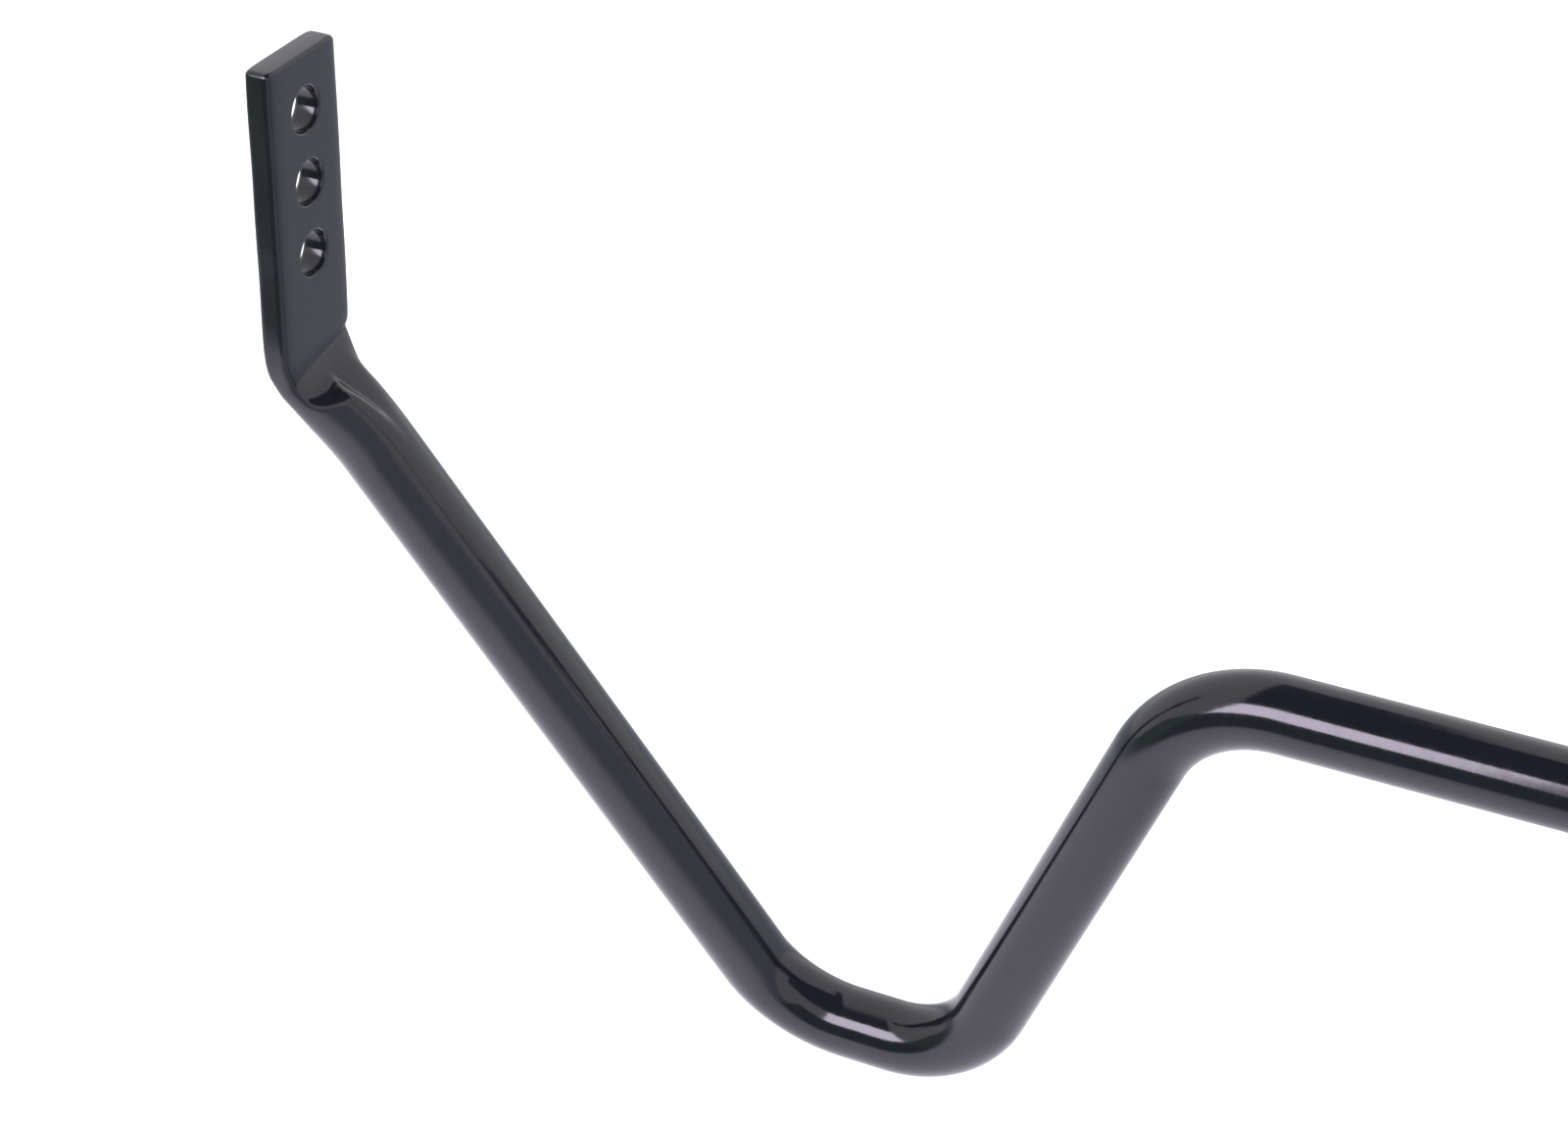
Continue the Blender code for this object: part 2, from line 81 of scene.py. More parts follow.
# ---- Camera and light table ------------------------------------------------------
# The bar hangs over a wide lit table: a soft box beside the camera, dark cards that
# keep part of the room out of the gloss, and a pale room all round.

CAMERA_AZIMUTH = math.radians(25.5)
CAMERA_ELEVATION = math.radians(33.3)
CAMERA_DISTANCE = 943.5 * MM
CAMERA_AIM = Vector((-452.8, -30.1, 29.3)) * MM
LENS = 80
TABLE_DROP = 200 * MM  # table below the lowest point of the bar, which hangs over it
TABLE_SIZE = 24
POOL_MIDDLE = (-0.80, -0.20)  # where the light on the table is strongest
POOL_INNER = 0.38
POOL_OUTER = 0.90
POOL_LIGHT = (1.72, 1.66, 1.84, 1)
DIM_LIGHT = (0.60, 0.65, 0.70, 1)
ROOM_EDGE_MIDDLE = (-0.2, -1.0)  # the far table brightens again round this point
ROOM_EDGE_INNER = 2.6
ROOM_EDGE_OUTER = 4.8
ROOM_EDGE_LIGHT = (1.15, 1.15, 1.2, 1)
CARD_TOP = 0.42
CARD_FRONT = -1.5
CEILING = 0.95
SOFT_BOX_LEFT = -1.48
SOFT_BOX_RIGHT = -0.52
SOFT_BOX_TOP = 1.42
ROOM_COLOUR = (0.98, 0.97, 1.03, 1)
ROOM_GLOW = 1.2


def direction(azimuth, elevation):
    """Unit vector from the object towards a viewer or a lamp."""
    level = math.cos(elevation)
    return Vector((math.sin(azimuth) * level, -math.cos(azimuth) * level, math.sin(elevation)))


def add_node(tree, kind, inputs=None, **settings):
    """Adds a node; an input given as a socket is linked, any other value is set."""
    node = tree.nodes.new(kind)
    for name, value in settings.items():
        setattr(node, name, value)
    for name, value in (inputs or {}).items():
        if isinstance(value, bpy.types.NodeSocket):
            tree.links.new(value, node.inputs[name])
        else:
            node.inputs[name].default_value = value
    return node


def linear(code):
    """An sRGB hex colour as linear RGBA."""
    channels = [int(code[i:i + 2], 16) / 255 for i in (1, 3, 5)]
    return [c / 12.92 if c <= 0.04045 else ((c + 0.055) / 1.055) ** 2.4 for c in channels] + [1]


def card(name, corners, colour, strength, seen_by_camera=False):
    """A flat card that glows with its own even light; most show only in reflections."""
    material = bpy.data.materials.new(name)
    material.use_nodes = True
    tree = material.node_tree
    tree.nodes.clear()
    glow = add_node(tree, "ShaderNodeEmission", {"Color": linear(colour), "Strength": strength})
    add_node(tree, "ShaderNodeOutputMaterial", {"Surface": glow.outputs[0]})
    mesh = bpy.data.meshes.new(name)
    mesh.from_pydata(corners, [], [range(len(corners))])
    mesh.materials.append(material)
    item = bpy.data.objects.new(name, mesh)
    bpy.context.scene.collection.objects.link(item)
    item.visible_shadow = False
    item.visible_camera = seen_by_camera
    item.visible_diffuse = False
    return item


def table_corners(height):
    half = TABLE_SIZE / 2
    return [(x * half, y * half, height) for x, y in ((-1, -1), (1, -1), (1, 1), (-1, 1))]


camera_data = bpy.data.cameras.new("camera")
camera_data.lens = LENS
camera_data.sensor_width = 36
camera = bpy.data.objects.new("camera", camera_data)
bpy.context.scene.collection.objects.link(camera)
camera_side = direction(CAMERA_AZIMUTH, CAMERA_ELEVATION)
camera.location = CAMERA_AIM + camera_side * CAMERA_DISTANCE
camera.rotation_mode = "QUATERNION"
camera.rotation_quaternion = (-camera_side).to_track_quat("-Z", "Y")
bpy.context.scene.camera = camera
bpy.context.scene.view_settings.view_transform = "Standard"

table_height = cad_low.z - TABLE_DROP
table = card("table", table_corners(table_height), "#ffffff", 1.5, seen_by_camera=True)
table.visible_diffuse = True

# The light on the table as the gloss sees it: a bright pool that fades outwards
pool = card("table_pool", table_corners(table_height + 1 * MM), "#ffffff", 1.0)
pool_tree = pool.data.materials[0].node_tree
pool_place = add_node(pool_tree, "ShaderNodeTexCoord").outputs["Object"]


def light_around(middle, inner, outer, near, far):
    """Light that goes from near to far with the distance from a place on the table."""
    reach = add_node(
        pool_tree, "ShaderNodeVectorMath",
        {0: pool_place, 1: (*middle, table_height + 1 * MM)}, operation="DISTANCE",
    )
    fade = add_node(
        pool_tree, "ShaderNodeMapRange",
        {"Value": reach.outputs["Value"], "From Min": inner, "From Max": outer},
        interpolation_type="SMOOTHSTEP",
    )
    mixed = add_node(
        pool_tree, "ShaderNodeMix",
        {"Factor": fade.outputs["Result"], "A": near, "B": far}, data_type="RGBA",
    )
    return mixed.outputs["Result"]


pool_light = light_around(POOL_MIDDLE, POOL_INNER, POOL_OUTER, POOL_LIGHT, DIM_LIGHT)
table_light = light_around(
    ROOM_EDGE_MIDDLE, ROOM_EDGE_INNER, ROOM_EDGE_OUTER, pool_light, ROOM_EDGE_LIGHT
)
pool_glow = next(n for n in pool_tree.nodes if n.type == "EMISSION")
pool_tree.links.new(table_light, pool_glow.inputs["Color"])

card(
    "front_card",
    [(-1.06, -0.86, table_height), (-0.10, -0.86, table_height),
     (0.3, CARD_FRONT, CARD_TOP), (-1.5, CARD_FRONT, CARD_TOP)],
    "#93c2a2", 0.27,
)
card(
    "left_card",
    [(-2.4, -0.80, table_height), (-1.06, -0.86, table_height),
     (-1.5, CARD_FRONT, CARD_TOP), (-2.8, CARD_FRONT, CARD_TOP)],
    "#b4d8c2", 0.46,
)
card(
    "top_card",
    [(-1.10, -0.95, CEILING), (2.5, -0.95, CEILING), (2.5, 0.30, CEILING),
     (-0.44, 0.30, CEILING), (-0.50, 0.75, CEILING), (-0.62, 0.75, CEILING),
     (-0.69, 0.20, CEILING), (-0.80, -0.20, CEILING)],
    "#8c90b4", 0.26,
)
card(
    "soft_box",
    [(SOFT_BOX_LEFT, CARD_FRONT, CARD_TOP), (SOFT_BOX_RIGHT, CARD_FRONT, CARD_TOP),
     (SOFT_BOX_RIGHT, -1.45, SOFT_BOX_TOP), (SOFT_BOX_LEFT, -1.45, SOFT_BOX_TOP)],
    "#f5eaff", 12.5,
)

world = bpy.data.worlds.new("pale_room")
bpy.context.scene.world = world
world.use_nodes = True
room = world.node_tree.nodes["Background"]
room.inputs["Color"].default_value = ROOM_COLOUR
room.inputs["Strength"].default_value = ROOM_GLOW


# ---- Bar -------------------------------------------------------------------------
# One length of 22 mm spring steel, bent cold on rollers. Both ends are heated and
# forged flat in a die, pierced for the drop link, and the whole bar powder coated.

BAR_BODY = "sway_bar"
BAR_RADIUS = 11 * MM
HALF_CENTRE = 345 * MM
RISER = Vector((-61, -4, -151)) * MM
SHOULDER = Vector((-58, 0, 0)) * MM
ARM = Vector((-115.5, -58, 231)) * MM
BEND_RADII = [40 * MM, 34 * MM, 34 * MM, 14 * MM]
BLADE_LEAN = math.radians(2.2)
BLADE_LENGTH = 86.5 * MM
BLADE_HALF_WIDTH = 16.2 * MM
BLADE_HALF_THICKNESS = 4 * MM
FORGED_FRONT = 36 * MM  # stock below the corner that spreads into the blade's front edge
FORGED_BACK = 17 * MM  # the same for its back edge
FACE_END = 3 * MM  # where the flat faces end, below the corner
BACK_FACE_END = 10 * MM  # the same along the blade's back edge
HUMP_FACE_END = 4.5 * MM  # the same in the middle, where the metal humps up
DIE_COVE = 8.5 * MM  # length of the hollow that the die's edge leaves in the front of the bar
SOFT_COVE = 18 * MM  # the same where the metal flows into the blade
COVE_HEIGHT = 5.4 * MM
LIP_TURN = -0.95  # angle round the section, in radians, where the lip is sharpest
LIP_SPAN = 0.75  # how fast the lip softens away from there, in radians
LIP_REACH = 1.45  # spans from there at which the lip has gone
COVE_POWER = 1.8  # curve of the soft hollow, where 2 would be a parabola
LIP_POWER = 2.2  # what the lip adds to that
COVE_REACH = 2.5  # lengths of hollow after which the bar is plain stock
BACK_START = 0.35  # share of the half width at which the back edge's own end begins
BACK_SPAN = 0.6
STOCK_SHARPNESS = 4.5  # how sharply the flat faces cut the round stock
LIP_SHARPNESS = 1.5  # what the lip adds to that
BLADE_SHARPNESS = 3.5  # what the blade adds to that
BLADE_POWER = 5  # what squares the edges of the blade, over the stock's 2
EDGE_WANDER = 0.5 * MM  # waviness of the blade's edges, which the die leaves free
WANDER_LENGTH = 26 * MM
FRONT_CORNER = 1.4 * MM
BACK_CORNER = 2.6 * MM
FACE_ROUND = 1.1 * MM
HOLE_RADIUS = 6.2 * MM
HOLE_RIM = 0.9 * MM
OUTER_RIM = 2 * MM  # the hole is eased more on the outer face, where the link seats
HOLE_FROM_TIP = 15.5 * MM
HOLE_PITCH = 20.5 * MM
PEEL_SIZE = 2.4 * MM
PEEL_DEPTH = 0.010 * MM
FLOW_SIZE = 14 * MM
RING_POINTS = 176
BEND_STEP = math.radians(2.2)
FORGE_STEP = 0.5 * MM


def smooth_step(value):
    value = min(max(value, 0), 1)
    return value * value * (3 - 2 * value)


def blade_axes():
    """Length and width directions of the left blade."""
    length = Vector((0, math.sin(BLADE_LEAN), math.cos(BLADE_LEAN)))
    width = Vector((0, math.cos(BLADE_LEAN), -math.sin(BLADE_LEAN)))
    return length, width


def bar_corners():
    """Corners of the left half's centre line, from the middle to the tip."""
    corners = [Vector((0, 0, 0)), Vector((-HALF_CENTRE, 0, 0))]
    for leg in (RISER, SHOULDER, ARM, blade_axes()[0] * BLADE_LENGTH):
        corners.append(corners[-1] + leg)
    return corners


def bend_points(before, corner, after, radius, step):
    """Centre-line points round one bend."""
    to_before = (before - corner).normalized()
    to_after = (after - corner).normalized()
    half_angle = to_before.angle(to_after) / 2
    reach = radius / math.tan(half_angle)
    middle = corner + (to_before + to_after).normalized() * (radius / math.sin(half_angle))
    first = corner + to_before * reach - middle
    axis = first.cross(to_before).normalized()
    sweep = math.pi - 2 * half_angle
    steps = math.ceil(sweep / step)
    return [middle + Matrix.Rotation(-sweep * i / steps, 3, axis) @ first for i in range(steps + 1)]


def bar_line():
    """Centre line of the left half, in fine steps where the bar bends or is forged."""
    corners = bar_corners()
    line = [corners[0]]
    for i in (1, 2, 3):
        before, corner, after = corners[i - 1:i + 2]
        line.extend(bend_points(before, corner, after, BEND_RADII[i - 1], BEND_STEP))
    down_arm = (corners[3] - corners[4]).normalized()
    bend = bend_points(*corners[3:6], BEND_RADII[3], FORGE_STEP / BEND_RADII[3])
    reach = (bend[0] - corners[4]).length
    steps = math.ceil((FORGED_FRONT + 4 * MM - reach) / FORGE_STEP)
    for i in range(steps, 0, -1):
        line.append(bend[0] + down_arm * FORGE_STEP * i)
    line.extend(bend)
    along = blade_axes()[0]
    straight = (corners[5] - bend[-1]).length
    steps = 60
    for i in range(1, steps + 1):
        share = math.sin(math.pi / 2 * i / steps)
        line.append(bend[-1] + along * straight * share)
    return line


def section_angles():
    """Angles round the section, closer together where the blade has its corners."""
    angles = []
    for i in range(RING_POINTS):
        turn = 2 * math.pi * (i + 0.5) / RING_POINTS
        angles.append(math.atan2(math.sin(turn), 0.5 * math.cos(turn)))
    return angles


def rounded_end(from_tip, radius):
    """How far an edge draws in near the tip, for a rounded corner."""
    if from_tip >= radius:
        return 0
    return radius - math.sqrt(max(radius * radius - (radius - from_tip) ** 2, 0))


def section_radius(angle, reach):
    """Distance from the centre line to the surface; reach runs up from the corner.

    The section is the round stock, spread sideways by the forging, and cut by the two
    flat faces of the die. The die's edge bites a hollow with a sharp lip into the front
    of the bar, and elsewhere the metal flows softly into the blade.
    """
    side_sign = 1 if math.sin(angle) > 0 else -1
    forged = FORGED_BACK if side_sign > 0 else FORGED_FRONT
    spread = smooth_step((reach + forged) / (forged + 2 * MM))
    squared = smooth_step((reach + 2 * MM) / (10 * MM))
    wander = noise.noise(Vector((reach / WANDER_LENGTH, side_sign * 3.1, 0.7))) * EDGE_WANDER
    width = BAR_RADIUS + (BLADE_HALF_WIDTH - BAR_RADIUS) * spread + wander * squared
    from_tip = BLADE_LENGTH - reach
    if from_tip < 8 * MM:
        width -= rounded_end(from_tip, BACK_CORNER if side_sign > 0 else FRONT_CORNER)
    across = abs(math.cos(angle))
    along = abs(math.sin(angle))
    power = 2 + BLADE_POWER * squared
    stock = ((across / BAR_RADIUS) ** power + (along / width) ** power) ** (1 / power)
    turn = (angle - LIP_TURN + math.pi) % (2 * math.pi) - math.pi
    crisp = smooth_step(LIP_REACH - abs(turn) / LIP_SPAN)
    cove = DIE_COVE + (SOFT_COVE - DIE_COVE) * (1 - crisp)
    steepness = along / max(across, 0.001)
    off_middle = min(steepness * BLADE_HALF_THICKNESS / BLADE_HALF_WIDTH, 1)
    face_end = HUMP_FACE_END + (FACE_END - HUMP_FACE_END) * crisp
    at_back = smooth_step((side_sign * off_middle - BACK_START) / BACK_SPAN)
    face_end += (BACK_FACE_END - face_end) * at_back
    below = max(-reach - face_end, 0) / cove
    if below > COVE_REACH:
        return 1 / stock
    die_gap = BLADE_HALF_THICKNESS + COVE_HEIGHT * below ** (COVE_POWER + LIP_POWER * crisp)
    die_gap -= rounded_end(from_tip, FACE_ROUND)
    sharpness = STOCK_SHARPNESS + LIP_SHARPNESS * crisp * (1 - squared) + BLADE_SHARPNESS * squared
    return (stock ** sharpness + (across / die_gap) ** sharpness) ** (-1 / sharpness)


def bar_half():
    """Left half of the bar as an open-ended loft from the middle to the tip."""
    line = bar_line()
    corners = bar_corners()
    corner = corners[4]
    arm_direction = (corner - corners[3]).normalized()
    along, width_axis = blade_axes()
    thickness_axis = Vector((1, 0, 0))
    tangents = []
    for i in range(len(line)):
        span = line[min(i + 1, len(line) - 1)] - line[max(i - 1, 0)]
        tangents.append(span.normalized())
    tangents[0] = Vector((-1, 0, 0))
    tangents[-1] = along
    angles = section_angles()
    shape = bmesh.new()
    rings = []
    for i in range(len(line) - 1, -1, -1):
        if i + 1 < len(line):
            turn = tangents[i + 1].rotation_difference(tangents[i])
            thickness_axis = turn @ thickness_axis
            width_axis = turn @ width_axis
        offset = line[i] - corner
        reach = offset.dot(along) if offset.z > 0 else offset.dot(arm_direction)
        ring = []
        for angle in angles:
            radius = section_radius(angle, reach)
            across = thickness_axis * math.cos(angle) + width_axis * math.sin(angle)
            ring.append(shape.verts.new(line[i] + across * radius))
        rings.append(ring)
    for outer, inner in zip(rings, rings[1:]):
        for k in range(RING_POINTS):
            after = (k + 1) % RING_POINTS
            shape.faces.new((outer[k], outer[after], inner[after], inner[k]))
    shape.faces.new(rings[0])
    bmesh.ops.recalc_face_normals(shape, faces=shape.faces)
    mesh = bpy.data.meshes.new("bar_half")
    shape.to_mesh(mesh)
    shape.free()
    return mesh


def show(name, mesh):
    item = bpy.data.objects.new(name, mesh)
    bpy.context.scene.collection.objects.link(item)
    return item


def finished_mesh(item):
    """Applies an object's modifiers and returns the plain mesh, removing the object."""
    bpy.context.view_layer.update()
    graph = bpy.context.evaluated_depsgraph_get()
    mesh = bpy.data.meshes.new_from_object(item.evaluated_get(graph), depsgraph=graph)
    bpy.data.objects.remove(item, do_unlink=True)
    return mesh


def smooth(mesh, angle=32):
    mesh.shade_smooth()
    mesh.set_sharp_from_angle(angle=math.radians(angle))


def turned(profile, steps, closed=False):
    """Turns a profile of (radius, height) points about Z; a closed one makes a ring."""
    shape = bmesh.new()
    points = [shape.verts.new((radius, 0, height)) for radius, height in profile]
    edges = [shape.edges.new(pair) for pair in zip(points, points[1:])]
    if closed:
        edges.append(shape.edges.new((points[-1], points[0])))
    bmesh.ops.spin(
        shape, geom=points + edges, angle=2 * math.pi, steps=steps,
        axis=(0, 0, 1), cent=(0, 0, 0), use_merge=True,
    )
    bmesh.ops.remove_doubles(shape, verts=shape.verts, dist=0.001 * MM)
    bmesh.ops.recalc_face_normals(shape, faces=shape.faces)
    mesh = bpy.data.meshes.new("turned")
    shape.to_mesh(mesh)
    shape.free()
    return mesh


def hole_cutter():
    """Punch with flared ends, which leaves the rims of the hole rounded; +Z is the inner face."""
    face = BLADE_HALF_THICKNESS
    clear = 4 * MM
    steps = 8

    def flare(rim):
        points = []
        for i in range(steps + 1):
            angle = math.pi / 2 * i / steps
            radius = HOLE_RADIUS + rim * (1 - math.cos(angle))
            points.append((radius, face - rim + rim * math.sin(angle)))
        return points + [(HOLE_RADIUS + rim * 1.02, face + clear)]

    lower = [(radius, -height) for radius, height in reversed(flare(OUTER_RIM))]
    return turned([(0, -face - clear), *lower, *flare(HOLE_RIM), (0, face + clear)], 72)


def cut(item, cutter_mesh, places):
    """Takes the cutter's shape out of the item at each place, and closes up slivers."""
    for i, place in enumerate(places):
        tool = show(f"cutter_{i}", cutter_mesh)
        tool.matrix_world = place
        step = item.modifiers.new(f"cut_{i}", "BOOLEAN")
        step.operation = "DIFFERENCE"
        step.solver = "EXACT"
        step.object = tool
    mesh = finished_mesh(item)
    shape = bmesh.new()
    shape.from_mesh(mesh)
    bmesh.ops.dissolve_degenerate(shape, edges=shape.edges, dist=0.001 * MM)
    shape.to_mesh(mesh)
    shape.free()
    for tool in [o for o in bpy.data.objects if o.name.startswith("cutter_")]:
        bpy.data.objects.remove(tool, do_unlink=True)
    return mesh


def new_finish(name):
    """A new material with its tree, its shader and the place on the object."""
    material = bpy.data.materials.new(name)
    material.use_nodes = True
    tree = material.node_tree
    place = add_node(tree, "ShaderNodeTexCoord").outputs["Object"]
    return material, tree, tree.nodes["Principled BSDF"], place


def dress(tree, shader, factor, dark, pale, roughness, height, strength, depth):
    """Gives a shader its colour between two shades, its roughness and its bump."""
    shade = add_node(
        tree, "ShaderNodeMix",
        {"Factor": factor, "A": linear(dark), "B": linear(pale)}, data_type="RGBA",
    )
    bump = add_node(
        tree, "ShaderNodeBump", {"Height": height, "Strength": strength, "Distance": depth}
    )
    tree.links.new(shade.outputs["Result"], shader.inputs["Base Color"])
    tree.links.new(roughness, shader.inputs["Roughness"])
    tree.links.new(bump.outputs["Normal"], shader.inputs["Normal"])


def powder_coat(name):
    """Gloss black polyester powder coat, baked on: a hard even gloss with fine orange peel.

    It gives the eye a near-black with sharp, slightly rippled reflections.
    """
    material, tree, shader, place = new_finish(name)
    peel, flow = (
        add_node(
            tree, "ShaderNodeTexNoise",
            {"Vector": place, "Scale": 1 / size, "Detail": detail},
        ).outputs["Fac"]
        for size, detail in ((PEEL_SIZE, 1.5), (FLOW_SIZE, 1.0))
    )
    ripple = add_node(tree, "ShaderNodeMath", {0: flow, 1: 3.0}, operation="MULTIPLY").outputs[0]
    height = add_node(tree, "ShaderNodeMath", {0: peel, 1: ripple}, operation="ADD").outputs[0]
    gloss = add_node(
        tree, "ShaderNodeMapRange",
        {"Value": peel, "From Min": 0.3, "From Max": 0.7, "To Min": 0.10, "To Max": 0.15},
    )
    dress(
        tree, shader, flow, "#15161c", "#1a1b22", gloss.outputs["Result"],
        height, 1.0, PEEL_DEPTH,
    )
    shader.inputs["IOR"].default_value = 1.5
    return material


def make_bar():
    item = show("bar_blank", bar_half())
    mirror = item.modifiers.new("right_half", "MIRROR")
    mirror.merge_threshold = 0.01 * MM
    whole = show("bar_whole", finished_mesh(item))
    tip = bar_corners()[-1]
    along = blade_axes()[0]
    places = []
    for side in (1, -1):
        for i in range(3):
            centre = tip - along * (HOLE_FROM_TIP + HOLE_PITCH * i)
            centre.x *= side
            places.append(Matrix.Translation(centre) @ Matrix.Rotation(math.pi / 2 * side, 4, "Y"))
    mesh = cut(whole, hole_cutter(), places)
    smooth(mesh, 40)
    mesh.materials.clear()
    mesh.materials.append(powder_coat("black_powder_coat"))
    bar = show("bar_forging", mesh)
    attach(bar, BAR_BODY)
    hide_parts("bar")


make_bar()


# ---- Bushes ----------------------------------------------------------------------
# Two split D-shaped bushes cast in black polyurethane. Each is sprung over the bar by
# its slit, greased, and squeezed by its saddle, between two lips that locate it.

HARDWARE_BODY = "chassis_hardware"
SIDES = ("left", "right")
ENDS = ("front", "rear")
BUSH_RADIUS = 22 * MM
BUSH_BORE = 11.35 * MM
BUSH_LIP = 3 * MM
BUSH_LIP_LENGTH = 4.5 * MM
BUSH_SLIT = 1.2 * MM
BUSH_CORNER = 2.5 * MM
BUSH_ROUND = 0.9 * MM


def middle_of(node):
    low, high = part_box(node)
    return (low + high) / 2


def arc(centre, radius, start, end, steps):
    """Points along an arc in a plane, angles in radians."""
    points = []
    for i in range(steps + 1):
        angle = start + (end - start) * i / steps
        points.append((centre[0] + radius * math.cos(angle), centre[1] + radius * math.sin(angle)))
    return points


def bush_outline(proud, bore, top):
    """D outline with its bore and slit as one loop of (y, z) points."""
    radius = BUSH_RADIUS + proud
    edge = BUSH_SLIT / 2
    corner = BUSH_CORNER
    outer_slit = math.asin(edge / radius)
    bore_slit = math.asin(edge / bore)
    loop = [(radius, edge)]
    loop += arc((radius - corner, top - corner), corner, 0, math.pi / 2, 6)
    loop += arc((corner - radius, top - corner), corner, math.pi / 2, math.pi, 6)
    loop += arc((0, 0), radius, math.pi, 2 * math.pi - outer_slit, 60)
    loop += arc((0, 0), bore, 2 * math.pi - bore_slit, bore_slit, 72)
    return loop


def stacked(rings):
    """Closed solid through rings of points, with its first and last ring as its ends."""
    shape = bmesh.new()
    loops = [[shape.verts.new(point) for point in ring] for ring in rings]
    for near, far in zip(loops, loops[1:]):
        for k in range(len(near)):
            after = (k + 1) % len(near)
            shape.faces.new((near[k], near[after], far[after], far[k]))
    shape.faces.new(loops[0])
    shape.faces.new(loops[-1])
    bmesh.ops.recalc_face_normals(shape, faces=shape.faces)
    mesh = bpy.data.meshes.new("stacked")
    shape.to_mesh(mesh)
    shape.free()
    return mesh


def bush_mesh(low, high):
    """Rings along the bush: rounded ends, a lip at each end, and the seat of the saddle."""
    half = (high.x - low.x) / 2
    rounding = []
    for i in range(5):
        turn = math.pi / 2 * i / 4
        draw = BUSH_ROUND * (1 - math.cos(turn))
        rounding.append((draw, BUSH_LIP - BUSH_ROUND * (1 - math.sin(turn))))
    inner = half - BUSH_LIP_LENGTH
    stations = [(half - draw, proud) for draw, proud in rounding]
    stations += [(inner + draw, proud) for draw, proud in reversed(rounding)]
    stations += [(inner - 0.1 * MM, 0.4 * MM), (inner - 0.5 * MM, 0)]
    stations += [(-x, proud) for x, proud in reversed(stations)]
    centre = (low.x + high.x) / 2
    rings = []
    for x, proud in stations:
        eased = max(abs(x) - (half - BUSH_ROUND), 0)
        outline = bush_outline(proud, BUSH_BORE + eased, high.z - 0.5 * eased)
        rings.append([(centre + x, y, z) for y, z in outline])
    return stacked(rings)


def polyurethane():
    """Black polyurethane, cast in a blasted mould: an even satin skin with a matt grain.

    It gives the eye a soft dark grey with broad highlights and a faint bloom.
    """
    material, tree, shader, place = new_finish("cast_polyurethane")
    grain, bloom = (
        add_node(
            tree, "ShaderNodeTexNoise",
            {"Vector": place, "Scale": 1 / size, "Detail": detail},
        ).outputs["Fac"]
        for size, detail in ((0.7 * MM, 3.0), (9 * MM, 4.0))
    )
    satin = add_node(tree, "ShaderNodeMapRange", {"Value": bloom, "To Min": 0.36, "To Max": 0.52})
    dress(
        tree, shader, bloom, "#1c1c1e", "#2b2b2e", satin.outputs["Result"],
        grain, 0.7, 0.02 * MM,
    )
    shader.inputs["IOR"].default_value = 1.5
    return material


bush_finish = polyurethane()
for side in SIDES:
    mesh = bush_mesh(*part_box(f"{side}_bush"))
    smooth(mesh, 40)
    mesh.materials.append(bush_finish)
    bush = show(f"{side}_bush_casting", mesh)
    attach(bush, HARDWARE_BODY)
    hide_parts(f"{side}_bush")


# ---- Saddles ---------------------------------------------------------------------
# Straps of 4 mm steel, blanked, pierced and pressed to a U with two feet, then bright
# zinc plated. Each is bolted up to the chassis and holds one bush.

STRAP_THICKNESS = 4 * MM
STRAP_RADIUS = 24.3 * MM  # middle of the strap round the bush
STRAP_BEND = 6 * MM  # middle of the strap at the bend into the foot
STRAP_ROUND = 0.7 * MM
FOOT_CORNER = 7 * MM
BOLT_HOLE = 5.5 * MM
NIPPLE_HOLE = 3.3 * MM


def strap_path(low, high):
    """Middle of the strap as (y, z) points, from one foot round under the bush to the other."""
    foot = high.z - STRAP_THICKNESS / 2
    bend_y = STRAP_RADIUS + STRAP_BEND
    bend_z = foot - STRAP_BEND
    half = [(high.y, foot)]
    half += [(high.y - FOOT_CORNER * i / 8, foot) for i in range(1, 9)]
    half += arc((bend_y, bend_z), STRAP_BEND, math.pi / 2, math.pi, 10)
    half += [(STRAP_RADIUS, bend_z * (1 - i / 4)) for i in range(1, 4)]
    half += arc((0, 0), STRAP_RADIUS, 0, -math.pi / 2, 36)
    return half + [(-y, z) for y, z in reversed(half[:-1])]


def strap_section(half_width, half_thickness):
    """Rounded rectangle of (across, up) points."""
    points = []
    corners = ((1, 1, 0), (-1, 1, 1), (-1, -1, 2), (1, -1, 3))
    for sign_x, sign_z, quarter in corners:
        centre = (sign_x * (half_width - STRAP_ROUND), sign_z * (half_thickness - STRAP_ROUND))
        start = quarter * math.pi / 2
        points += arc(centre, STRAP_ROUND, start, start + math.pi / 2, 4)
    return points


def saddle_mesh(low, high):
    path = strap_path(low, high)
    centre = (low.x + high.x) / 2
    half_width = (high.x - low.x) / 2
    rings = []
    for i, (y, z) in enumerate(path):
        before = path[max(i - 1, 0)]
        after = path[min(i + 1, len(path) - 1)]
        ahead = Vector((after[0] - before[0], after[1] - before[1])).normalized()
        outward = Vector((ahead.y, -ahead.x))
        from_end = high.y - abs(y)
        width = half_width
        if z > high.z - STRAP_THICKNESS:
            width -= rounded_end(from_end, FOOT_CORNER)
        ring = []
        for across, up in strap_section(width, STRAP_THICKNESS / 2):
            ring.append((centre + across, y + outward.x * up, z + outward.y * up))
        rings.append(ring)
    return stacked(rings)


def drill(radius, length, ease):
    """Cutter for a hole through a strap, eased at both faces of the strap."""
    half = length / 2
    past = half + ease * 2
    wide = radius + ease * 3
    side = [(wide, past), (radius, half - ease), (radius, ease - half), (wide, -past)]
    return turned([(0, past), *side, (0, -past)], 48)


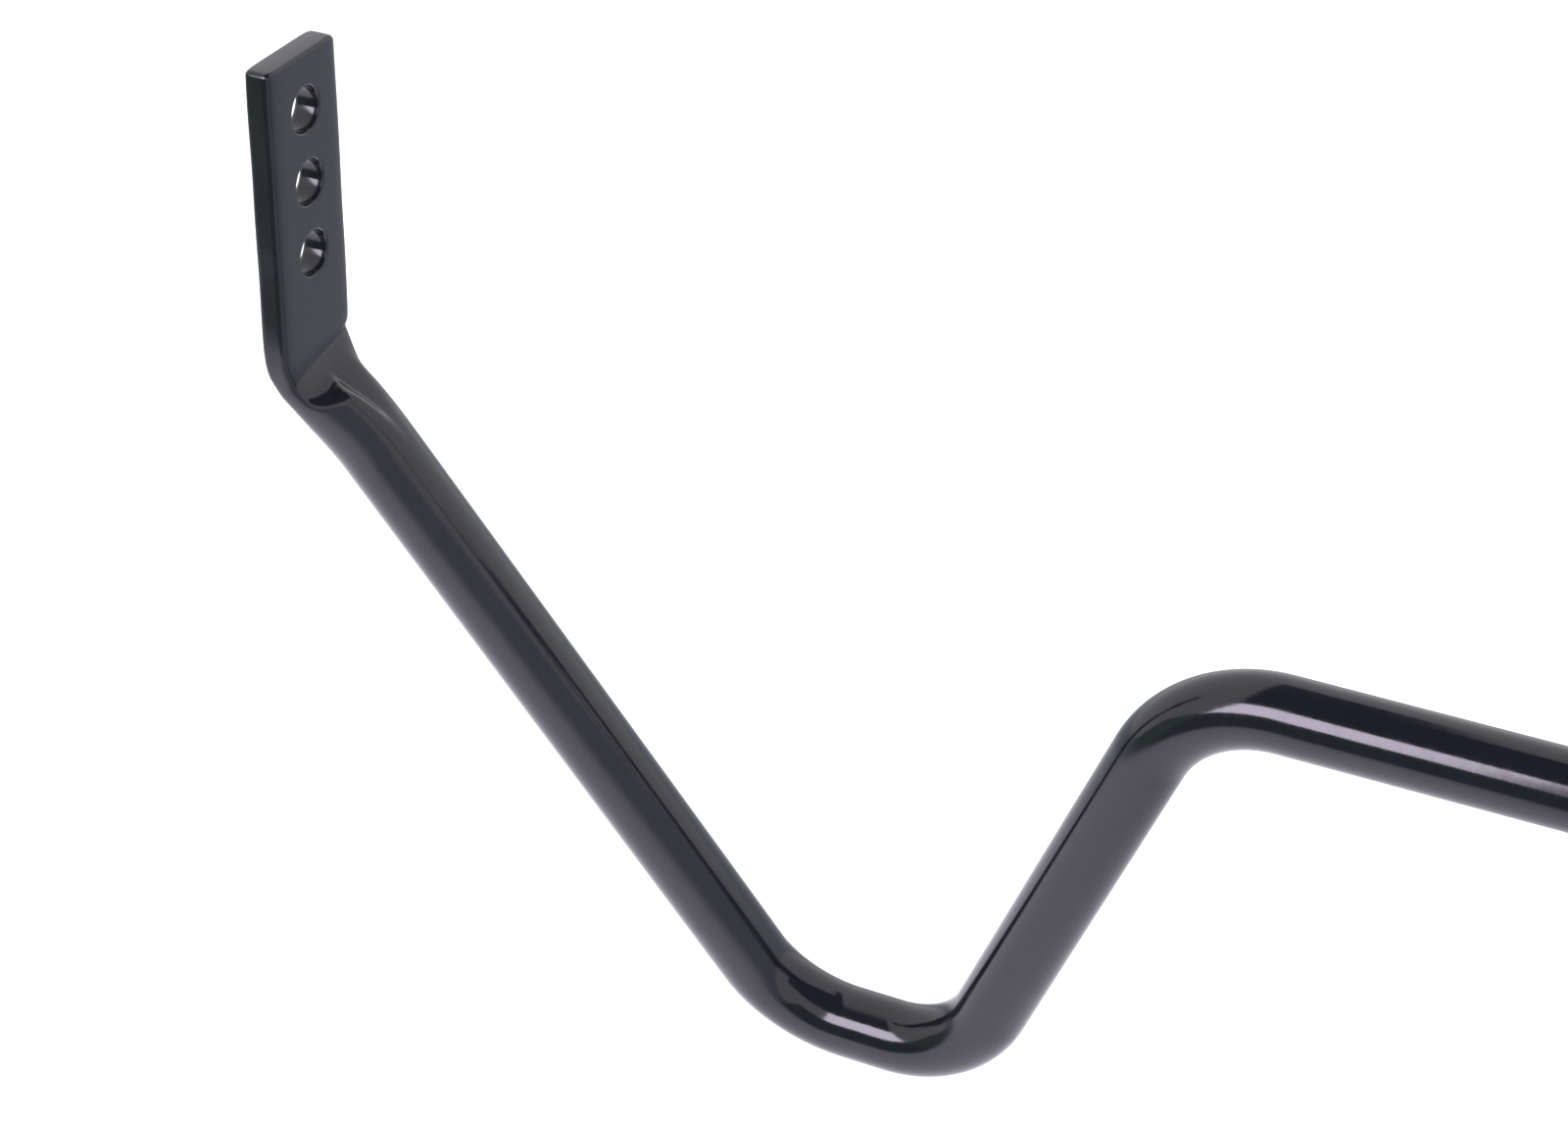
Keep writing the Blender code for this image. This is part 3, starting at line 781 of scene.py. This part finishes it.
def zinc_plate(name, pale, dark, grain_size, roughness):
    """Zinc on steel, plated in a barrel and passivated, clear or yellow.

    It gives the eye a bright metal with cloudy spangle, a fine grain and uneven gloss.
    """
    material, tree, shader, place = new_finish(name)
    cloud, grain = (
        add_node(
            tree, "ShaderNodeTexNoise",
            {"Vector": place, "Scale": 1 / size, "Detail": detail},
        ).outputs["Fac"]
        for size, detail in ((7 * MM, 5.0), (grain_size, 3.0))
    )
    spangle = add_node(tree, "ShaderNodeTexVoronoi", {"Vector": place, "Scale": 1 / (1.6 * MM)})
    mixed = add_node(
        tree, "ShaderNodeMath",
        {0: spangle.outputs["Distance"], 1: 0.35, 2: cloud}, operation="MULTIPLY_ADD",
    )
    dull = add_node(
        tree, "ShaderNodeMapRange",
        {"Value": cloud, "From Min": 0.3, "From Max": 0.7,
         "To Min": roughness - 0.06, "To Max": roughness + 0.10},
    )
    dress(
        tree, shader, mixed.outputs[0], dark, pale, dull.outputs["Result"],
        grain, 0.5, 0.02 * MM,
    )
    shader.inputs["Metallic"].default_value = 1
    return material


strap_finish = zinc_plate("bright_zinc_on_pressed_steel", "#c9ccd0", "#8d9299", 0.9 * MM, 0.30)
for side in SIDES:
    low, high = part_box(f"{side}_saddle")
    blank = show(f"{side}_saddle_blank", saddle_mesh(low, high))
    middle_x = middle_of(f"{side}_saddle").x
    foot_middle = high.z - STRAP_THICKNESS / 2
    hole_y = middle_of(f"{side}_bolt_rear").y
    feet = [Matrix.Translation((middle_x, y, foot_middle)) for y in (-hole_y, hole_y)]
    mesh = cut(blank, drill(BOLT_HOLE, STRAP_THICKNESS, 0.4 * MM), feet)
    pierced = show(f"{side}_saddle_pierced", mesh)
    crown = Matrix.Translation((middle_x, 0, -STRAP_RADIUS))
    mesh = cut(pierced, drill(NIPPLE_HOLE, STRAP_THICKNESS, 0.2 * MM), [crown])
    smooth(mesh, 35)
    mesh.materials.clear()
    mesh.materials.append(strap_finish)
    saddle = show(f"{side}_saddle_strap", mesh)
    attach(saddle, HARDWARE_BODY)
    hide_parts(f"{side}_saddle")


# ---- Saddle bolts ----------------------------------------------------------------
# M10 hexagon bolts, cold headed with rolled threads and zinc plated. They pass up
# through the feet of the saddles into the chassis, two to each saddle.

BOLT_RADIUS = 5 * MM
BOLT_FLATS = 16 * MM
BOLT_PITCH = 1.5 * MM
THREAD_DEPTH = 0.9 * MM
THREAD_START = 8 * MM  # plain shank under the head
WASHER_FACE = 7.4 * MM
WASHER_FACE_HEIGHT = 0.4 * MM
BOLT_HEAD = 6.4 * MM
HEX_CHAMFER_ANGLE = math.radians(30)
HEX_FACE_SHARE = 0.96  # flat round face inside the chamfer, as a share of the flats
HEX_STEPS = 96
ROUND_STEPS = 48
ROWS_PER_TURN = 8


def make_tree(name, inputs):
    """Empty geometry tree with an object geometry input and named number inputs."""
    tree = bpy.data.node_groups.new(name, "GeometryNodeTree")
    tree.interface.new_socket("Geometry", in_out="INPUT", socket_type="NodeSocketGeometry")
    tree.interface.new_socket("Geometry", in_out="OUTPUT", socket_type="NodeSocketGeometry")
    for label, kind in inputs.items():
        tree.interface.new_socket(label, in_out="INPUT", socket_type=kind)
    return tree


def run_tree(tree, mesh, values):
    """Runs a geometry tree on a mesh with its inputs set, and returns the plain mesh."""
    item = show(f"{tree.name}_points", mesh)
    step = item.modifiers.new(tree.name, "NODES")
    step.node_group = tree
    for socket in tree.interface.items_tree:
        if socket.item_type == "SOCKET" and socket.in_out == "INPUT" and socket.name in values:
            step[socket.identifier] = values[socket.name]
    return finished_mesh(item)


def finish_tree(tree, given, geometry):
    """Ends a tree: real faces, with the given material."""
    real = add_node(tree, "GeometryNodeRealizeInstances", {"Geometry": geometry})
    coated = add_node(
        tree, "GeometryNodeSetMaterial",
        {"Geometry": real.outputs[0], "Material": given.outputs["Material"]},
    )
    add_node(tree, "NodeGroupOutput", {"Geometry": coated.outputs[0]})
    return tree


def thread_tree():
    """Rolled thread: a tube of points whose radius follows the helix, chamfered at its end."""
    tree = make_tree("rolled_thread", {
        "Radius": "NodeSocketFloat", "Depth": "NodeSocketFloat", "Pitch": "NodeSocketFloat",
        "Length": "NodeSocketFloat", "Rows": "NodeSocketInt", "Material": "NodeSocketMaterial",
    })
    given = tree.nodes.new("NodeGroupInput")
    grid = add_node(tree, "GeometryNodeMeshGrid", {
        "Size X": 1.0, "Size Y": 1.0,
        "Vertices X": ROUND_STEPS + 1, "Vertices Y": given.outputs["Rows"],
    })
    position = add_node(tree, "GeometryNodeInputPosition").outputs[0]
    spot = add_node(tree, "ShaderNodeSeparateXYZ", {"Vector": position})
    values = {"x": spot.outputs["X"], "y": spot.outputs["Y"]}
    for label in ("Radius", "Depth", "Pitch", "Length"):
        values[label] = given.outputs[label]

    def work_out(*rows):
        """Adds a maths node for each row of name, operation and terms."""
        for name, operation, *terms in rows:
            inputs = {i: values.get(term, term) for i, term in enumerate(terms)}
            made = add_node(tree, "ShaderNodeMath", inputs, operation=operation)
            values[name] = made.outputs[0]

    work_out(
        ("turn", "MULTIPLY", "x", 2 * math.pi),
        ("share", "ADD", "y", 0.5),
        ("height", "MULTIPLY", "share", "Length"),
        ("turns up", "DIVIDE", "height", "Pitch"),
        ("phase", "SUBTRACT", "turns up", "x"),
        ("saw", "FRACT", "phase"),
        ("swing", "MULTIPLY_ADD", "saw", 2.0, -1.0),
        ("wave", "ABSOLUTE", "swing"),
        ("run in", "MULTIPLY", "Pitch", 2.0),
    )
    # The crests and roots are flats, and the thread deepens over its first two turns
    flank = add_node(
        tree, "ShaderNodeMapRange", {"Value": values["wave"], "From Min": 0.12, "From Max": 0.88}
    )
    ease = add_node(
        tree, "ShaderNodeMapRange",
        {"Value": values["height"], "From Min": 0.0, "From Max": values["run in"]},
    )
    values["flank"] = flank.outputs[0]
    values["ease"] = ease.outputs[0]
    work_out(
        ("eased", "MULTIPLY", "flank", "ease"),
        ("cut in", "MULTIPLY", "eased", "Depth"),
        ("to end", "SUBTRACT", "Length", "height"),
        ("core", "SUBTRACT", "Radius", "Depth"),
        ("chamfer", "ADD", "core", "to end"),
        ("rolled", "SUBTRACT", "Radius", "cut in"),
        ("reach", "MINIMUM", "rolled", "chamfer"),
        ("cosine", "COSINE", "turn"),
        ("sine", "SINE", "turn"),
        ("out x", "MULTIPLY", "reach", "cosine"),
        ("out y", "MULTIPLY", "reach", "sine"),
    )
    rolled = add_node(
        tree, "ShaderNodeCombineXYZ",
        {"X": values["out x"], "Y": values["out y"], "Z": values["height"]},
    )
    placed = add_node(
        tree, "GeometryNodeSetPosition",
        {"Geometry": grid.outputs[0], "Position": rolled.outputs[0]},
    )
    joined = add_node(
        tree, "GeometryNodeMergeByDistance",
        {"Geometry": placed.outputs[0], "Distance": 0.001 * MM},
    )
    return finish_tree(tree, given, joined.outputs[0])


def copies_tree():
    """Puts one copy of a made piece at each point, as real faces."""
    inputs = {"Piece": "NodeSocketObject", "Material": "NodeSocketMaterial"}
    tree = make_tree("placed_copies", inputs)
    given = tree.nodes.new("NodeGroupInput")
    piece = add_node(
        tree, "GeometryNodeObjectInfo", {"Object": given.outputs["Piece"], "As Instance": True}
    )
    turn = add_node(
        tree, "GeometryNodeInputNamedAttribute", {"Name": "turn"}, data_type="FLOAT_VECTOR"
    )
    turned_by = add_node(tree, "FunctionNodeEulerToRotation", {"Euler": turn.outputs["Attribute"]})
    copies = add_node(tree, "GeometryNodeInstanceOnPoints", {
        "Points": given.outputs["Geometry"],
        "Instance": piece.outputs["Geometry"],
        "Rotation": turned_by.outputs[0],
    })
    return finish_tree(tree, given, copies.outputs[0])


placed_copies = copies_tree()


def fit_copies(name, mesh, spots, material, body, nodes):
    """One piece that holds a copy of the mesh at each (place, turn about Z)."""
    model = show(f"{name}_model", mesh)
    points = bpy.data.meshes.new(f"{name}_points")
    points.from_pydata([place for place, _ in spots], [], [])
    turns = points.attributes.new("turn", "FLOAT_VECTOR", "POINT")
    for i, (_, angle) in enumerate(spots):
        turns.data[i].vector = (0, 0, angle)
    made = run_tree(placed_copies, points, {"Piece": model, "Material": material})
    bpy.data.objects.remove(model, do_unlink=True)
    if "turn" in made.attributes:
        made.attributes.remove(made.attributes["turn"])
    piece = show(name, made)
    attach(piece, body)
    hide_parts(*nodes)


def end_nodes(kind):
    return [f"{side}_{kind}_{end}" for side in SIDES for end in ENDS]


def standing_at(nodes, turn=0, turn_step=0, height=None):
    """Place and turn of each node's copy, each turned a little further than the last."""
    spots = []
    for i, node in enumerate(nodes):
        middle = middle_of(node)
        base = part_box(node)[0].z if height is None else height
        spots.append(((middle.x, middle.y, base), turn + turn_step * i))
    return spots


def merged(*meshes):
    """The meshes as one, each still a closed shell of its own."""
    shape = bmesh.new()
    for mesh in meshes:
        shape.from_mesh(mesh)
    bmesh.ops.recalc_face_normals(shape, faces=shape.faces)
    mesh = bpy.data.meshes.new("merged")
    shape.to_mesh(mesh)
    shape.free()
    return mesh


def hexagon(flats, low, high, chamfer):
    """Hexagon whose corners are turned off at its upper end, as on a headed bolt."""
    circle = flats / 2 / math.cos(math.pi / 6)
    rings = []
    slope = math.tan(HEX_CHAMFER_ANGLE)
    fall = (circle - flats / 2) * slope
    stations = [
        (low, 0.97), (low + 0.15 * MM, 1.0),
        (high - fall - chamfer, 1.0), (high - fall, 1.0), (high, 1.0),
    ]
    for height, share in stations:
        ring = []
        for i in range(HEX_STEPS):
            angle = 2 * math.pi * i / HEX_STEPS
            from_flat = (angle + math.pi / 6) % (math.pi / 3) - math.pi / 6
            reach = flats / 2 / math.cos(from_flat)
            limit = flats / 2 * HEX_FACE_SHARE + (high - height) / slope
            reach = min(reach * share, limit)
            ring.append((reach * math.cos(angle), reach * math.sin(angle), height))
        rings.append(ring)
    return stacked(rings)


bolt_low, bolt_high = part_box("left_bolt_front")
thread_base = BOLT_HEAD + THREAD_START
thread_length = bolt_high.z - bolt_low.z - BOLT_HEAD - THREAD_START
row_count = round(thread_length / BOLT_PITCH * ROWS_PER_TURN) + 1
bolt_finish = zinc_plate("bright_zinc_on_headed_steel", "#c4c6c4", "#878b8d", 0.5 * MM, 0.26)
thread_mesh = run_tree(thread_tree(), bpy.data.meshes.new("thread_seed"), {
    "Radius": BOLT_RADIUS, "Depth": THREAD_DEPTH, "Pitch": BOLT_PITCH,
    "Length": thread_length, "Rows": row_count, "Material": bolt_finish,
})
thread_mesh.transform(Matrix.Translation((0, 0, thread_base)))
thread_shape = bmesh.new()
thread_shape.from_mesh(thread_mesh)
bmesh.ops.holes_fill(thread_shape, edges=[e for e in thread_shape.edges if e.is_boundary])
bmesh.ops.recalc_face_normals(thread_shape, faces=thread_shape.faces)
thread_shape.to_mesh(thread_mesh)
thread_shape.free()
# The head points down, so it is made upside down and turned over
hex_height = BOLT_HEAD - WASHER_FACE_HEIGHT
head_mesh = hexagon(BOLT_FLATS, 0, hex_height, 0.4 * MM)
head_mesh.transform(Matrix.Translation((0, 0, hex_height)) @ Matrix.Rotation(math.pi, 4, "X"))
shank_mesh = turned(
    [(0, BOLT_HEAD - 1 * MM), (WASHER_FACE, BOLT_HEAD - 1 * MM),
     (WASHER_FACE, BOLT_HEAD - 0.1 * MM), (WASHER_FACE - 0.2 * MM, BOLT_HEAD),
     (BOLT_RADIUS + 0.5 * MM, BOLT_HEAD), (BOLT_RADIUS, BOLT_HEAD + 0.5 * MM),
     (BOLT_RADIUS, thread_base + 0.1 * MM), (0, thread_base + 0.1 * MM)],
    ROUND_STEPS,
)
bolt_mesh = merged(head_mesh, shank_mesh, thread_mesh)
smooth(bolt_mesh, 28)
bolt_nodes = end_nodes("bolt")
fit_copies(
    "saddle_bolts", bolt_mesh, standing_at(bolt_nodes, 0.4, 0.55), bolt_finish,
    HARDWARE_BODY, bolt_nodes,
)


# ---- Washers ---------------------------------------------------------------------
# Under each bolt head, a flat washer punched from strip and a spring washer coiled from
# square wire, cut, and hardened with its ends apart. Both are zinc plated.

WASHER_BORE = 5.25 * MM
SPRING_BORE = 5.2 * MM
SPRING_GAP = math.radians(14)
SPRING_RISE = 0.35 * MM
SPRING_EASE = 0.3 * MM
SPRING_STEPS = 80

low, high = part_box("left_washer_front")
outer = (high.x - low.x) / 2
thick = high.z - low.z
washer_mesh = turned(
    [(WASHER_BORE, 0.25 * MM), (WASHER_BORE + 0.25 * MM, 0), (outer - 0.2 * MM, 0),
     (outer, 0.2 * MM), (outer, thick - 0.45 * MM), (outer - 0.13 * MM, thick - 0.13 * MM),
     (outer - 0.45 * MM, thick), (WASHER_BORE + 0.35 * MM, thick),
     (WASHER_BORE + 0.1 * MM, thick - 0.1 * MM), (WASHER_BORE, thick - 0.35 * MM)],
    72, closed=True,
)
smooth(washer_mesh, 40)
washer_nodes = end_nodes("washer")
fit_copies(
    "flat_washers", washer_mesh, standing_at(washer_nodes), strap_finish,
    HARDWARE_BODY, washer_nodes,
)

low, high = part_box("left_spring_washer_front")
outer = (high.x - low.x) / 2
wire_height = high.z - low.z - SPRING_RISE
wire_section = [
    (SPRING_BORE, SPRING_EASE), (SPRING_BORE + SPRING_EASE, 0),
    (outer - SPRING_EASE, 0), (outer, SPRING_EASE),
    (outer, wire_height - SPRING_EASE), (outer - SPRING_EASE, wire_height),
    (SPRING_BORE + SPRING_EASE, wire_height), (SPRING_BORE, wire_height - SPRING_EASE),
]
spring_rings = []
for i in range(SPRING_STEPS + 1):
    share = i / SPRING_STEPS
    turn = SPRING_GAP / 2 + (2 * math.pi - SPRING_GAP) * share
    base = SPRING_RISE * share
    spring_rings.append(
        [(r * math.cos(turn), r * math.sin(turn), base + z) for r, z in wire_section]
    )
spring_mesh = stacked(spring_rings)
smooth(spring_mesh, 30)
spring_nodes = end_nodes("spring_washer")
fit_copies(
    "spring_washers", spring_mesh, standing_at(spring_nodes, 0.7, 1.9), bolt_finish,
    HARDWARE_BODY, spring_nodes,
)


# ---- Grease nipples --------------------------------------------------------------
# Turned from hexagon bar and passivated yellow, with a sprung ball in the tip. Each is
# screwed into the crown of its saddle, so that a gun can fill the bush.

NIPPLE_FLATS = 8 * MM
NIPPLE_HEX = 4 * MM
NIPPLE_THREAD = 3 * MM
NIPPLE_THREAD_LENGTH = 4 * MM
NIPPLE_COLLAR = 2.4 * MM
NIPPLE_NECK = 1.75 * MM
NIPPLE_HEAD = 3.2 * MM  # rounded head that the gun grips
NIPPLE_BALL = 0.8 * MM

low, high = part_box("left_grease_nipple")
seat = high.z - NIPPLE_THREAD_LENGTH
tip = seat - low.z
nipple_hex = hexagon(NIPPLE_FLATS, 0, NIPPLE_HEX, 0.3 * MM)
head_profile = [
    (0, NIPPLE_HEX - 0.5 * MM), (NIPPLE_COLLAR, NIPPLE_HEX - 0.5 * MM),
    (NIPPLE_COLLAR, NIPPLE_HEX + 0.8 * MM), (NIPPLE_COLLAR - 0.3 * MM, NIPPLE_HEX + 1.6 * MM),
    (NIPPLE_NECK, tip - 3.9 * MM), (NIPPLE_NECK, tip - 3.3 * MM), (3.0 * MM, tip - 2.4 * MM),
]
head_profile += [
    (NIPPLE_HEAD * math.cos(t), tip - 1.6 * MM + 1.6 * MM * math.sin(t))
    for t in (0, 0.35, 0.7, 1.0, 1.2)
]
head_profile += [
    (0.95 * MM, tip - 0.1 * MM), (0.85 * MM, tip - 0.5 * MM), (NIPPLE_BALL, tip - 0.7 * MM),
    (0.5 * MM, tip - 0.3 * MM), (0, tip - 0.15 * MM),
]
nipple_stem = turned(
    [(0, 0.5 * MM), (NIPPLE_THREAD, 0.5 * MM), (NIPPLE_THREAD, 0.4 * MM - NIPPLE_THREAD_LENGTH),
     (NIPPLE_THREAD - 0.4 * MM, -NIPPLE_THREAD_LENGTH), (0, -NIPPLE_THREAD_LENGTH)],
    40,
)
nipple_mesh = merged(nipple_hex, turned(head_profile, 40), nipple_stem)
nipple_mesh.transform(Matrix.Rotation(math.pi, 4, "X"))
smooth(nipple_mesh, 30)
nipple_finish = zinc_plate("yellow_passivated_steel", "#d8c27c", "#a78f4c", 0.4 * MM, 0.28)
nipple_nodes = [f"{side}_grease_nipple" for side in SIDES]
fit_copies(
    "grease_nipples", nipple_mesh, standing_at(nipple_nodes, 0.3, 0.7, seat), nipple_finish,
    HARDWARE_BODY, nipple_nodes,
)


# ---- Lock collars ----------------------------------------------------------------
# Split collars turned from steel bar, bored to the stock, sawn in two, and clamped on
# the bar inboard of each bush, so that the bar can't slide sideways.

COLLAR_BORE = 11.4 * MM
COLLAR_EASE = 0.9 * MM
COLLAR_SPLIT = 1 * MM
SCREW_OFFSET = 15.9 * MM
SCREW_HEAD = 4.25 * MM
SCREW_SEAT = 6.7 * MM
TOOL_FEED = 0.35 * MM  # coarser than the real feed of about 0.1 mm, so that it shows


def collar_half(width, outer, top):
    """Half ring about the X axis, its faces and outer edges eased, upper or lower."""
    half = width / 2
    stations = [
        (-half, COLLAR_BORE + 0.4 * MM, outer - COLLAR_EASE),
        (0.4 * MM - half, COLLAR_BORE, outer - 0.5 * MM),
        (COLLAR_EASE - half, COLLAR_BORE, outer),
    ]
    stations += [(-x, bore, rim) for x, bore, rim in reversed(stations)]
    rings = []
    for x, bore, rim in stations:
        outer_start = math.asin(COLLAR_SPLIT / 2 / rim)
        bore_start = math.asin(COLLAR_SPLIT / 2 / bore)
        loop = arc((0, 0), rim, outer_start, math.pi - outer_start, 56)
        loop += arc((0, 0), bore, math.pi - bore_start, bore_start, 40)
        rings.append([(x, y, z if top else -z) for y, z in loop])
    return stacked(rings)


def turned_steel():
    """Turned and bright-plated steel: fine tool rings round the bore and a low sheen.

    It gives the eye a grey metal whose highlights break into thin circles on the faces.
    """
    material, tree, shader, place = new_finish("turned_steel")
    flat = add_node(
        tree, "ShaderNodeVectorMath", {0: place, 1: (0, 1, 1)}, operation="MULTIPLY"
    )
    reach = add_node(
        tree, "ShaderNodeVectorMath", {0: flat.outputs["Vector"]}, operation="LENGTH"
    )
    along = add_node(tree, "ShaderNodeSeparateXYZ", {"Vector": place})
    rings = add_node(
        tree, "ShaderNodeCombineXYZ", {"X": reach.outputs["Value"], "Y": along.outputs["X"]}
    )
    lines, cloud = (
        add_node(
            tree, "ShaderNodeTexNoise",
            {"Vector": vector, "Scale": 1 / size, "Detail": detail},
        ).outputs["Fac"]
        for vector, size, detail in ((rings.outputs[0], TOOL_FEED, 2.0), (place, 6 * MM, 4.0))
    )
    dull = add_node(tree, "ShaderNodeMapRange", {"Value": lines, "To Min": 0.24, "To Max": 0.42})
    dress(
        tree, shader, cloud, "#8f9195", "#b9bbbe", dull.outputs["Result"],
        lines, 0.6, 0.015 * MM,
    )
    shader.inputs["Metallic"].default_value = 1
    return material


collar_finish = turned_steel()
bore = SCREW_HEAD + 0.3 * MM
counterbore = turned([(0, SCREW_SEAT), (bore, SCREW_SEAT), (bore, 30 * MM), (0, 30 * MM)], 48)
for level in ("upper", "lower"):
    low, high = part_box(f"left_collar_{level}")
    blank = show(f"collar_{level}_blank", collar_half(high.x - low.x, high.y, level == "upper"))
    if level == "upper":
        seats = [Matrix.Translation((0, y, 0)) for y in (-SCREW_OFFSET, SCREW_OFFSET)]
        mesh = cut(blank, counterbore, seats)
    else:
        mesh = finished_mesh(blank)
    smooth(mesh, 30)
    mesh.materials.clear()
    collar_nodes = [f"{side}_collar_{level}" for side in SIDES]
    collar_spots = [((middle_of(node).x, 0, 0), 0) for node in collar_nodes]
    fit_copies(
        f"collar_{level}_halves", mesh, collar_spots, collar_finish,
        BAR_BODY, collar_nodes,
    )


# ---- Collar screws ---------------------------------------------------------------
# M5 socket cap screws, cold headed with a knurled head and blacked in hot oxide. Two
# draw the halves of each collar together.

KNURLS = 36
KNURL_DEPTH = 0.16 * MM
SOCKET_FLATS = 4 * MM
SOCKET_DEPTH = 2.5 * MM
SCREW_RADIUS = 2.5 * MM

low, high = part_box("left_collar_screw_front")
head_base = SCREW_SEAT + 0.3 * MM
stations = [
    (head_base, -0.3 * MM, 0), (head_base + 0.3 * MM, 0, 0.3), (head_base + 0.7 * MM, 0, 1),
    (high.z - 1.1 * MM, 0, 1), (high.z - 0.7 * MM, 0, 0.2), (high.z - 0.5 * MM, -0.1 * MM, 0),
    (high.z - 0.15 * MM, -0.35 * MM, 0), (high.z, -0.7 * MM, 0),
]
knurl_rings = []
for height, offset, knurled in stations:
    ring = []
    for i in range(KNURLS * 4):
        turn = 2 * math.pi * i / (KNURLS * 4)
        ridge = KNURL_DEPTH * knurled * (0.5 - 0.5 * math.cos(turn * KNURLS))
        radius = SCREW_HEAD + offset - ridge
        ring.append((radius * math.cos(turn), radius * math.sin(turn), height))
    knurl_rings.append(ring)
head_blank = show("screw_head", stacked(knurl_rings))
socket_tool = hexagon(SOCKET_FLATS, high.z - SOCKET_DEPTH, high.z + 3 * MM, 0.1 * MM)
head_mesh = cut(head_blank, socket_tool, [Matrix.Identity(4)])
screw_shank = turned(
    [(0, head_base + 0.2 * MM), (SCREW_RADIUS, head_base + 0.2 * MM),
     (SCREW_RADIUS, low.z + 2.5 * MM), (SCREW_RADIUS - 1.2 * MM, low.z), (0, low.z)],
    32,
)
screw_mesh = merged(head_mesh, screw_shank)
smooth(screw_mesh, 30)
# Black oxide, oiled: the gloss of the powder coat with a metal sheen under it
oxide = powder_coat("black_oxide_on_steel")
oxide.node_tree.nodes["Principled BSDF"].inputs["Metallic"].default_value = 0.6
screw_nodes = end_nodes("collar_screw")
fit_copies(
    "collar_screws", screw_mesh, standing_at(screw_nodes, 0.25, 0.8, 0), oxide,
    BAR_BODY, screw_nodes,
)
